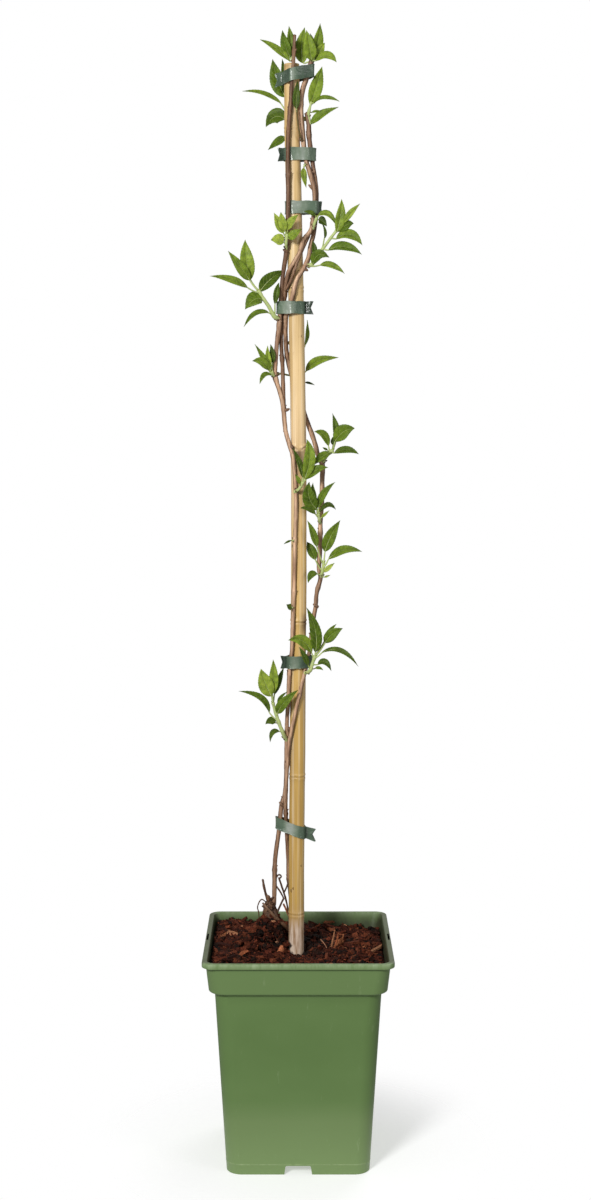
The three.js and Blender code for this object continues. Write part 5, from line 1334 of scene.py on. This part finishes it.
# Leafy shoots: the young stem from inside the wood outwards, its radius, then the leaves as
# (petiole start, blade base, middle, tip, width across as drawn, roll about the midrib in degrees,
# tone from dark olive at 0 to bright yellow-green at 1, the leaf's own green together with painted shade and
# light).
SHOOTS = {
    "shoot_top": ([(311.6, 62, -2.4), (312.2, 58.6, -4.4), (312.4, 55.6, -4.8)], 1.5, [
        ((311.6, 60.4, -3.6), (303.4, 63, 1.5), (301.5, 47, 4), (304.5, 28.4, 3), 14, -10, 0.5),
        ((312.2, 57.6, -4.6), (311.4, 60, -6.4), (309.5, 47, -9.5), (306.5, 31, -9), 12.5, 5, 0.5),
        ((312, 57, -4.6), (311.5, 55, -4.2), (312, 43, -4.6), (310.5, 34.5, -5), 3.5, 65, 0.4),
        ((312.4, 57, -4.4), (313.2, 56, -2.8), (317.8, 41, 0), (320, 24.3, 1), 10, 22, 0.4),
        ((312.2, 58.6, -4.2), (315, 60, -4), (319.5, 51.5, -4), (324.2, 43.5, -2), 9, 15, 0.6),
        ((312.6, 60, -4.6), (316, 60.5, -6), (327, 55.5, -10.5), (336, 61.5, -14), 8.5, -35, 0.5),
        ((312.3, 57, -4), (312.8, 50, 1.6), (313, 43.5, 3.6), (312.5, 37, 4.4), 5, 0, 0.5),
    ]),
    "shoot_top_left": ([(293.2, 62.6, -9.1), (292.6, 60.6, -6), (292, 57.6, -4.6)], 1.2, [
        ((292.4, 60, -5.4), (290, 61, -6.5), (276, 48.5, -9), (261, 40, -12), 7, 30, 0.45),
        ((292.2, 58.8, -5), (290, 57.5, -5.4), (285.3, 45, -7.5), (282.5, 31, -8), 9.5, -10, 0.25),
        ((292.2, 58.4, -4.8), (291.8, 56, -4.6), (290.8, 42, -5.5), (289, 27, -5), 8.5, 12, 0.35),
    ]),
    "shoot_back_left": ([(306.9, 117, 0.6), (301, 121, 10.2), (293, 118, 11.4), (287, 111, 10)], 1.2, [
        ((287, 111, 10), (285.5, 97, 11), (277.5, 80, 13), (272.7, 60, 14), 15, -8, 0.25),
        ((288, 112, 10.4), (286.5, 92, 13.4), (284.5, 76, 15.6), (282.3, 59.6, 15), 7, 15, 0.15),
        ((287, 111.6, 9.8), (281, 103.5, 8), (264, 93.5, 4), (243.4, 91.2, -2), 5, 30, 0.45),
        ((288, 113, 10.2), (285, 119.5, 12), (275, 116.5, 13.6), (266.3, 126, 14), 15.5, 12, 0.15),
        ((289, 115, 11), (285, 137, 11), (278, 142, 11), (268.7, 149.3, 10), 8, 20, 0.2),
    ]),
    "shoot_back_right": ([(307.6, 119, 0.2), (309, 111, -2.2), (311.3, 102, -3)], 1.3, [
        ((309.4, 110, -2.4), (310.4, 105, -2.6), (316.4, 86, 1), (321.8, 67.5, 4), 13, 8, 0.5),
        ((311.3, 102.6, -3), (313.5, 103, -5), (325, 97.5, -10), (338.5, 101, -14), 5, -45, 0.35),
        ((309, 112, -2), (311.5, 112.3, -3), (316.5, 111.3, -4), (322, 111.3, -5), 2.6, -30, 0.4),
        ((308.9, 117, -1.4), (310.8, 124, -3.2), (321.5, 115, -7.5), (337.5, 107.4, -12), 8, -30, 0.35),
    ]),
    "shoot_inner": ([(303.2, 143, -3.4), (300.2, 136, -9.4), (297.8, 122, -10.8), (296.8, 110, -10.8)], 0.9, [
        ((296.9, 112, -10.8), (296.4, 109, -10.8), (296.4, 96, -10.6), (297.7, 81, -10.2), 7.6, 5, 0.06),
    ]),
    "leaf_hanging": ([(306.8, 164.5, -3.6), (305, 164.5, -6), (304, 167, -7.4)], 0.8, [
        ((304, 166.6, -7.2), (303.8, 168, -7.6), (303.8, 176, -8), (306, 187, -7), 6, -20, 0.6),
    ]),
    "shoot_02": ([(286.4, 250, -6.6), (286, 244, -12), (287, 234, -14)], 1.3, [
        ((286.6, 238, -13.4), (283.5, 233, -14), (279, 224, -15), (274.4, 213.8, -15), 9, 20, 0.75),
        ((287, 235, -14), (285, 231, -15), (282.4, 222, -16.4), (281, 213, -15), 8, -10, 0.7),
        ((286, 243, -12.4), (283.6, 242.6, -14), (278, 239.5, -16.6), (271.5, 240, -16), 11, 15, 0.8),
        ((287, 235, -14), (287.5, 230, -15), (291, 221.5, -16.6), (297.5, 215.3, -16.6), 7.5, -20, 0.75),
        ((286.8, 239, -13.6), (288.6, 238.5, -14.4), (294, 234.5, -16), (301, 229.3, -16.4), 9, -25, 0.5),
    ]),
    "shoot_03": ([(312.6, 229, -3.6), (315, 222, -7), (317, 217, -8.4)], 1.4, [
        ((317, 217.5, -8.4), (318.5, 215.5, -9.2), (328, 214, -11), (337, 226, -14), 6, -38, 0.45),
        ((316, 220, -8), (318.5, 219.5, -7.6), (322, 221, -8), (326.5, 226, -9), 8, -20, 0.02),
        ((316.6, 217.6, -8.6), (315.5, 215.5, -10.6), (310.5, 212.5, -12), (304.8, 211.3, -12.6),
         4.5, 30, 0.2),
    ]),
    "shoot_04": ([(305.8, 265, -5.4), (311, 265, -6.4), (316, 258, -8), (322.7, 249, -9), (331, 237.6, -10.2),
                  (337, 230, -11)], 1.6, [
        ((336.6, 230.4, -11), (337, 232, -12), (340.5, 216, -14.6), (341.6, 200, -13), 9.5, 12, 0.5),
        ((337, 229.6, -11), (343.5, 223, -13.6), (351, 213, -16), (359.3, 204.3, -15), 6, -15, 0.65),
        ((336.6, 230, -10.8), (339, 231.5, -12), (346, 225, -13.6), (352.8, 223.5, -13), 10, -12, 0.15),
        ((331, 238, -10.2), (336.5, 238.6, -11.5), (350, 234.4, -17.5), (361.8, 244.5, -21), 10.5, -34, 0.4),
        ((323, 249, -9), (328.8, 249.8, -11), (344.5, 246.6, -19.5), (361, 254, -25), 9.5, -32, 0.25),
        ((312.6, 264.6, -7), (313, 264.5, -9), (318.5, 254.5, -12.6), (328.6, 257, -15), 10.5, -12, 0.2),
        ((312.6, 263, -5.6), (314.3, 256, -4), (314.3, 248, -2.8), (312.6, 241, -1.4), 5, 10, 0.05),
        ((309.4, 266, -6), (320.3, 265, -11), (332, 265.4, -15), (343.8, 273, -19), 6.5, -35, 0.45),
        ((321.6, 250.6, -8.4), (324.4, 238.5, -6.4), (325, 231, -6), (322, 223.6, -5.4), 2.8, 30, 0.1),
    ]),
    "shoot_05": ([
        (279.6, 319, -3.2), (274.5, 316.5, -7), (268.8, 306.5, -10), (263.7, 299, -12), (258.4, 290.6, -13),
    ], 1.9, [
        ((258.4, 290.6, -13), (250.5, 279.5, -14), (246.4, 260, -17), (245.2, 240.5, -14), 14.5, 12, 0.52),
        ((258.2, 290.6, -13), (249.5, 280, -17), (240.4, 267, -22), (228.6, 251.6, -23), 10, 10, 0.4),
        ((259.6, 293, -13), (247.4, 287.4, -19), (231, 279.6, -27), (210.9, 276.2, -33), 7.5, 25, 0.45),
        ((261, 294.4, -12.4), (260, 291.5, -12), (270.5, 279, -5.5), (284, 271, 1), 12.5, -15, 0.12),
        ((264, 300, -12.2), (262.5, 299.5, -13), (254, 299.5, -18), (245.6, 308.6, -20), 14, 26, 0.3),
        ((274.8, 316.6, -7), (275, 304, -9.4), (276.5, 292, -10.4), (278.6, 283.4, -8.6), 6, 20, 0.15),
        ((272.6, 313.6, -8.4), (268.5, 312.6, -12), (255.5, 313.6, -16), (244.4, 326, -20), 5.5, 38, 0.3),
    ]),
    "shoot_06": ([(274.8, 377, -3.2), (273, 374.6, -6.2), (271.2, 371.6, -8.2)], 1.4, [
        ((271.2, 371.6, -8.2), (270.5, 370.5, -9.4), (264.5, 359, -11.4), (255.2, 344.8, -11), 6.4, 20, 0.35),
        ((271.2, 371.4, -8.2), (270.6, 369.5, -9), (268, 358, -10), (267.6, 346.4, -9.4), 5.5, 5, 0.6),
        ((271.8, 372, -7.6), (272.6, 363, -6.8), (272.4, 354, -6.2), (270.8, 345, -5.4), 6, -10, 0.08),
        ((271, 371.8, -8.2), (268.5, 370, -10.4), (262.5, 361.8, -14), (253.1, 360.8, -16), 8.5, 20, 0.4),
        ((272.6, 374, -6.8), (271, 375, -8.6), (264.4, 375, -13), (259.9, 383.4, -16), 5, 32, 0.3),
    ]),
    "leaf_behind_cane": ([
        (275.6, 374.6, -2.4), (279.6, 373.6, 3), (284, 374.2, 7), (288.5, 375.2, 11.8), (294.5, 375.8, 13),
        (300.5, 374.8, 12.6), (305, 371.8, 10.2),
    ], 0.9, [
        ((304.6, 372.2, 10.4), (306, 371, 9.6), (318.5, 361, 5), (337.8, 357.6, 0), 8.5, -20, 0.4),
        ((301, 375, 12.4), (305, 382.4, 11.6), (309.5, 383, 10), (314.5, 385, 9), 2.4, -10, 0.02),
    ]),
    "leaf_beside_cane": ([(286.4, 343, 4.4), (291, 343, 11.4), (299, 345, 11.6), (304.6, 347, 8.6)], 0.8, [
        ((304.3, 346.8, 8.8), (305.2, 345, 7.6), (306.6, 334, 6.2), (307.2, 321, 5), 4, 65, 0.35),
    ]),
    "shoot_08": ([(322.2, 463, 0.7), (327, 456, -2.4), (332.6, 450.4, -4)], 1.4, [
        ((332.4, 450.6, -4), (336, 441, -4.8), (336, 428, -6), (332.7, 414.3, -4), 7, 20, 0.15),
        ((332.6, 450.4, -4), (335, 441.5, -7.4), (343.5, 431.5, -11.4), (353.8, 428.3, -13), 14, -12, 0.32),
        ((330, 452.6, -3.6), (328.5, 445.6, -5.6), (323.5, 434.5, -9), (315, 431.6, -11.4), 7.5, 25, 0.4),
        ((331.6, 451.6, -4), (334.6, 453, -7.6), (346.5, 449.8, -13), (358.2, 453.8, -17.4), 7, -32, 0.15),
        ((331.4, 451.6, -3.8), (330, 452.4, -8), (321.5, 457, -11), (312.8, 465.2, -13), 7.5, 35, 0.3),
        ((332, 451, -3.8), (333, 445, -3), (332.8, 440.5, -2), (334.4, 435.8, -1), 4, 0, 0.02),
        ((329.5, 453, -3.4), (327.5, 449.8, -4.6), (325.2, 448.8, -5.4), (322.6, 447.4, -6), 2.4, 0, 0.1),
    ]),
    "shoot_09": ([(294.6, 492, -9), (299, 489, -13), (303, 482, -14.4)], 1.5, [
        ((303.2, 482.2, -14.4), (304.6, 479, -15.4), (309.8, 457.5, -18), (307, 440, -16), 11.5, 8, 0.45),
        ((302.6, 483, -14.4), (302.8, 477.6, -16.4), (299.4, 463, -19.6), (293, 448.6, -20), 5.5, 25, 0.1),
        ((303.4, 482, -14.2), (306.4, 479, -15), (315.5, 470.4, -16.4), (327.2, 467.4, -17), 8.5, -32, 0.3),
        ((300.8, 487, -14), (300, 484, -15.4), (298, 479, -16.6), (295.2, 474.6, -17.4), 4, 20, 0.5),
    ]),
    "shoot_10": ([(320.5, 524, 0), (319.4, 520, -5), (318, 514, -7)], 1.3, [
        ((318, 514, -7), (317, 509.5, -9), (308.8, 497, -14.6), (309, 482.8, -16), 13.5, 10, 0.2),
        ((318.2, 513.6, -7), (318.5, 508, -8.6), (323.5, 494, -10.6), (334.6, 482.6, -12.6), 7.5, -15, 0.3),
        ((319, 518, -5.8), (315.5, 514, -9.6), (308.5, 508.8, -13.4), (301, 508, -16.4), 5, 30, 0.18),
        ((318.4, 515.4, -6.8), (319.6, 512, -8.6), (328, 504.6, -12), (335.4, 509, -15), 5, -32, 0.05),
        ((319.4, 519.6, -5.2), (321.5, 517.4, -6.4), (325, 514.4, -7.4), (329, 510.8, -8.4), 2.8, -20, 0.7),
        ((318.1, 513.8, -7), (315.8, 505, -8.6), (312.4, 494, -10), (312.8, 483.6, -11), 6, 30, 0.22),
    ]),
    "shoot_11": ([(320.8, 577.6, -1.2), (322.6, 571, -5), (323.5, 563, -6)], 1.4, [
        ((323.5, 563.6, -6), (325, 551.5, -7.6), (330.5, 536.5, -11), (339.7, 521, -13), 11.5, -10, 0.3),
        ((323.3, 564.6, -6), (316.8, 546.5, -9), (313.2, 534, -12), (307.8, 521.4, -13), 7, 18, 0.35),
        ((322.4, 571.6, -5), (315.5, 560, -4), (311.5, 550, 3), (307.4, 542.6, 6.4), 9, 12, 0.2),
        ((323.2, 568, -5.4), (328.6, 559, -9.4), (344, 549.8, -17), (361.2, 551.4, -23), 8.5, -28, 0.33),
        ((322.2, 574.6, -4.2), (323.4, 572, -7), (328.6, 567.8, -9), (334, 563.4, -10.4), 4.6, -25, 0.95),
        ((321.8, 576.4, -3), (324.4, 577, -5), (327, 576.4, -6.4), (330, 575.2, -7), 2, -30, 0.8),
        ((321.6, 575, -3.8), (317, 573.6, -6.4), (311.6, 575, -9.4), (308.2, 582.4, -11.4), 6.5, 35, 0.2),
    ]),
    "shoot_13": ([(304.8, 673, -7.8), (309.6, 671, -12.6), (313, 662, -14.4), (315, 656, -15.4)], 1.7, [
        ((314.8, 656.6, -15.4), (315.4, 652, -16.4), (315.5, 631, -21.4), (307, 608.4, -21.4), 11.5, 6, 0.17),
        ((314, 658.6, -15), (311.6, 652.5, -18), (302, 640.6, -24.4), (289, 640, -29.4), 10.5, 25, 0.5),
        ((314.8, 656.6, -15.4), (325, 643, -16.4), (332, 634, -18.4), (342, 628.6, -20.4), 11, -12, 0.28),
        ((315, 655.6, -15), (324.4, 641, -13.6), (329, 632, -12), (336, 624.4, -10), 5, -10, 0.35),
        ((314.2, 658.6, -14.8), (322, 652.5, -18), (341, 650.6, -26.4), (357.8, 666, -33.4), 4.6, -40, 0.15),
        ((312.4, 664.4, -13.8), (318, 664.4, -16), (325, 662, -19), (331, 670.4, -21), 5.6, -36, 0.15),
        ((310.6, 669, -13), (315, 668.4, -14.4), (319, 667.8, -15.4), (323, 670, -16.4), 3, -30, 0.4),
        ((310.8, 669.4, -13.2), (308.4, 665.5, -16), (304.6, 656.5, -18.4), (299.6, 647.8, -18),
         5.6, 20, 0.1),
    ]),
    "shoot_14": ([
        (286.8, 741, 1.6), (283, 733, -3.6), (278.8, 722.5, -6), (275.6, 712.5, -7), (273, 703, -8),
    ], 1.8, [
        ((272.8, 702, -8), (271.4, 696, -10), (265, 682.5, -14), (261.2, 669.8, -15), 15, 12, 0.7),
        ((272.9, 702, -8), (272.4, 694, -9.4), (273.6, 677, -10.6), (273.2, 660.3, -9), 9.5, 5, 0.55),
        ((273.2, 703, -7.8), (274.4, 694.5, -5.4), (278.8, 681, -1.4), (283.6, 667.6, 1), 6.5, -12, 0.12),
        ((278, 721.5, -6.4), (269.2, 712, -11.4), (260.5, 697.4, -17), (239.4, 691.2, -22), 6, 28, 0.25),
        ((276, 715.5, -7), (277.6, 713.6, -10), (283.6, 703, -14.6), (297.5, 690.4, -17), 9.5, -20, 0.3),
        ((275.4, 711.5, -7.2), (278.6, 705, -11.5), (280.5, 698, -13), (287, 692, -14), 3.4, -30, 0.15),
        ((278.6, 722.6, -6.2), (275.4, 722.8, -8.6), (270.6, 720.8, -11), (265.8, 723.8, -13), 7.5, 22, 0.15),
        ((282, 731, -4.6), (279.4, 731.4, -6.6), (272.6, 732.4, -10), (270.2, 741.6, -12), 5, 32, 0.12),
    ]),
    "leaf_15": ([(293.4, 608, -8.4), (292.6, 607.6, -10.4), (291.6, 607.2, -11.6)], 0.8, [
        ((291.8, 607.3, -11.4), (291.4, 607, -12), (289.4, 606.6, -13), (286.6, 604.6, -14), 6, 25, 0.1),
    ]),
    "leaf_16": ([(294.6, 541, -8.8), (293.4, 540.6, -10.8), (292, 540.4, -12)], 0.7, [
        ((292.2, 540.4, -11.8), (291.6, 540.4, -12.2), (287.6, 542, -13), (284.2, 544, -14), 1.9, 40, 0.1),
    ]),
}
# Where the columns of a blade's grid lie, from its left edge at -1 to its right edge at 1
COLUMNS = np.array([-1, -0.93, -0.78, -0.58, -0.36, -0.16, -0.05, 0, 0.05, 0.16, 0.36, 0.58, 0.78, 0.93, 1])


def turned(v, axis, degrees):
    angle = math.radians(degrees)
    on_axis = axis * axis.dot(v) * (1 - math.cos(angle))
    return v * math.cos(angle) + np.cross(axis, v) * math.sin(angle) + on_axis


def half_width(t):
    """The blade's half width along it, 1 at its widest."""
    return (t + 0.004) ** 0.75 * (1.004 - t) ** 1.15 / 0.2795


def blade_columns(t, spread, size, rng):
    """For places t along a blade, how far each column of its grid goes to the side and up from the midrib,
    and its relief. The blade is folded and toothed, with raised panels between its veins."""
    small = min(1, size / 24)
    tooth = (np.arange(len(t)) % 3) / 2 - 0.4
    bite = (0.018 * spread + 0.16) * min(1, size / 22) * np.minimum(1, np.sin(math.pi * t) * 2)
    waves = rng.uniform(*ROUND, 3)
    uneven = rng.uniform(0.94, 1.06, 2)
    cup = rng.uniform(0.85, 1.2)
    columns = []
    for s in COLUMNS:
        a = abs(s)
        reach = half_width(t) * spread * uneven[0 if s < 0 else 1]
        flange = s * reach + np.sign(s) * bite * tooth * a ** 6
        rise = reach * (LEAF["fold"] * cup * (math.sqrt(a * a + 0.012) - 0.11) - 0.16 * a ** 4)
        rise = rise + 0.05 * spread * a ** 2 * np.sin(t * 9 + waves[0] + (1.4 if s < 0 else 0))
        rise = rise + 0.045 * size * (t ** 2 - t ** 4) * math.sin(waves[1])
        phase = (t - VEINS["bend"] * a ** VEINS["power"]) * VEINS["pairs"]
        quilt = np.sqrt(np.abs((phase % 1) - 0.5) * 2) * math.sin(math.pi * min(a, 1)) ** 0.7
        columns.append((flange, rise, small * (0.24 * quilt - 0.22 * bell(s, 0.07))))
    return np.moveaxis(np.array(columns), 0, -1)


def leaf(soup, points, width, roll, tone, rng):
    """A blade and its petiole, from the petiole's start and the blade's base, middle and tip."""
    start, base, middle, tip = points
    axis, front = unit(tip - base), np.array([0, -1.0, 0])
    face = turned(unit(front - axis * front.dot(axis)), axis, roll)
    control = 2 * middle - base / 2 - tip / 2
    spread = width * UNIT / 2 / max(math.cos(math.radians(roll)), 0.4)
    size = np.linalg.norm(tip - base)
    # A blade ends in a point too fine to show, so it runs on past the tip that is seen
    tip = tip + unit(tip - control) * LEAF["point"] * min(1, size / 16)
    teeth = int(np.clip(round(size / 2.0), 5, 15))
    t = np.linspace(0, 1, teeth * 3 + 1)
    rib = np.outer((1 - t) ** 2, base) + np.outer(2 * t * (1 - t), control) + np.outer(t ** 2, tip)
    along = unit_rows(np.gradient(rib, axis=0))
    side = unit_rows(np.cross(along, face))
    up = np.cross(side, along)
    flange, rise, relief = blade_columns(t, spread, size, rng)[..., None]
    grid = rib[:, None] + side[:, None] * flange + up[:, None] * rise
    thick = LEAF["thickness"] * np.clip((1 - np.abs(COLUMNS)) * 4, 0.35, 1)[:, None]
    upper = grid + up[:, None] * (relief + thick)
    lower = grid + up[:, None] * (relief * 0.8 - thick)
    uv = np.stack([np.repeat(t, len(COLUMNS)), np.tile(COLUMNS, len(t))], axis=1)
    young = float(np.clip(1.15 - size / 26, 0, 1))
    age = float(np.clip(rng.normal(0.95 - young * 0.75, 0.12), 0, 1))
    tints = np.repeat([[age, tone, 0], [age, tone, 0.5]], len(uv), axis=0)
    blade = np.concatenate([upper.reshape(-1, 3), lower.reshape(-1, 3)])
    soup.add(blade, sheet_faces(*grid.shape[:2]), np.concatenate([uv, uv]), tints)
    # The petiole runs on below the blade as its midrib
    sag = (start + base) / 2 - np.array([0, 0, np.linalg.norm(base - start) * 0.06])
    rows = [int(share * (len(t) - 1)) for share in (0.12, 0.3, 0.55)]
    line, where = curve_points([start, sag, base - up[0] * 0.2, *(rib[rows] - up[rows] * 0.3)], 0.9)
    thickness = LEAF["petiole"] * (0.75 + 0.25 * min(1, size / 25))
    radius = np.interp(where, (0, 0.15, 0.4, 0.62, 1), (1.3, 1, 0.85, 0.55, 0.16)) * thickness
    tube(soup, line, radius, 8, (age, rng.uniform(0.2, 0.9), 1.0))


def terminal_bud(soup, tip, heading, size, rng):
    """Small folded leaves that stand up from the end of a shoot."""
    for _ in range(3):
        lean = unit(heading + rng.normal(0, 0.32, 3))
        length = size * rng.uniform(0.7, 1.25)
        base = tip - heading * 0.8
        end = base + lean * length + np.array([0, 0, length * 0.15])
        points = [base, base + lean * 0.6, base + lean * length * 0.55, end]
        leaf(soup, points, size * 0.5, rng.uniform(-60, 60), 0.8, rng)


def bud_scales(soup, root, heading, radius, rng):
    """The brown scales that stay round the foot of a young shoot."""
    side = unit(np.cross(heading, np.array([0.3, 1.0, 0.2])))
    for k in range(4):
        spin = turned(side, heading, k * 90 + rng.uniform(-20, 20))
        foot = root + spin * radius * 0.8 - heading * 0.4
        tip = root + spin * radius * 1.7 + heading * rng.uniform(1.2, 2.2)
        points, where = curve_points([foot, (foot + tip) / 2 + spin * 0.3, tip], 0.5)
        tube(soup, points, np.interp(where, (0, 0.4, 1), (0.7, 0.8, 0.12)), 6, (0.3, 0.35, 0), 1, flat=0.5)


# Where a shoot leaves the wood, as a share of its first span
WOOD_SHARE = 0.42


def make_shoot(name, spec, seed):
    stem, radius, leaves = spec
    soup = Soup()
    rng = np.random.default_rng(seed)
    line = [at(p) for p in stem]
    points, where = curve_points(line, 0.9)
    thickness = radius * np.interp(where, (0, 0.5, 1), (1.05, 0.9, 0.72))
    # shoot_inner's stalk is painted dark brown: painted shade where it runs in the cane's shadow
    tint = np.tile([0.05 if name == "shoot_inner" else 0.85, 0, 1], (len(points), 1))
    tint[:, 1] = np.clip(0.25 + 0.6 * where + 0.15 * wander(where * 8, seed, 3), 0, 1)
    for row in leaves:
        off_leaf = np.linalg.norm(points - at(row[0]), axis=1)
        thickness = thickness + 0.22 * bell(off_leaf, 1.6)
    tube(soup, points, thickness, 12, tint, lumps=0.05, seed=seed)
    for *places, width, roll, tone in leaves:
        leaf(soup, [at(p) for p in places], width, roll, tone, rng)
    if len(leaves) > 2:
        terminal_bud(soup, line[-1], unit(line[-1] - line[-2]), 3.0 if radius > 1.25 else 2.2, rng)
    first_span = line[1] - line[0]
    bud_scales(soup, line[0] + first_span * WOOD_SHARE, unit(first_span), radius, rng)
    soup.build(name + "_leaves", name, ["leaf", "wood"])


make_pot()
make_substrate()
make_cane()
make_wood()
for index, spec in enumerate(TIES):
    make_tie(spec, index + 1, 100 + index)
for index, (name, spec) in enumerate(SHOOTS.items()):
    make_shoot(name, spec, 200 + index)
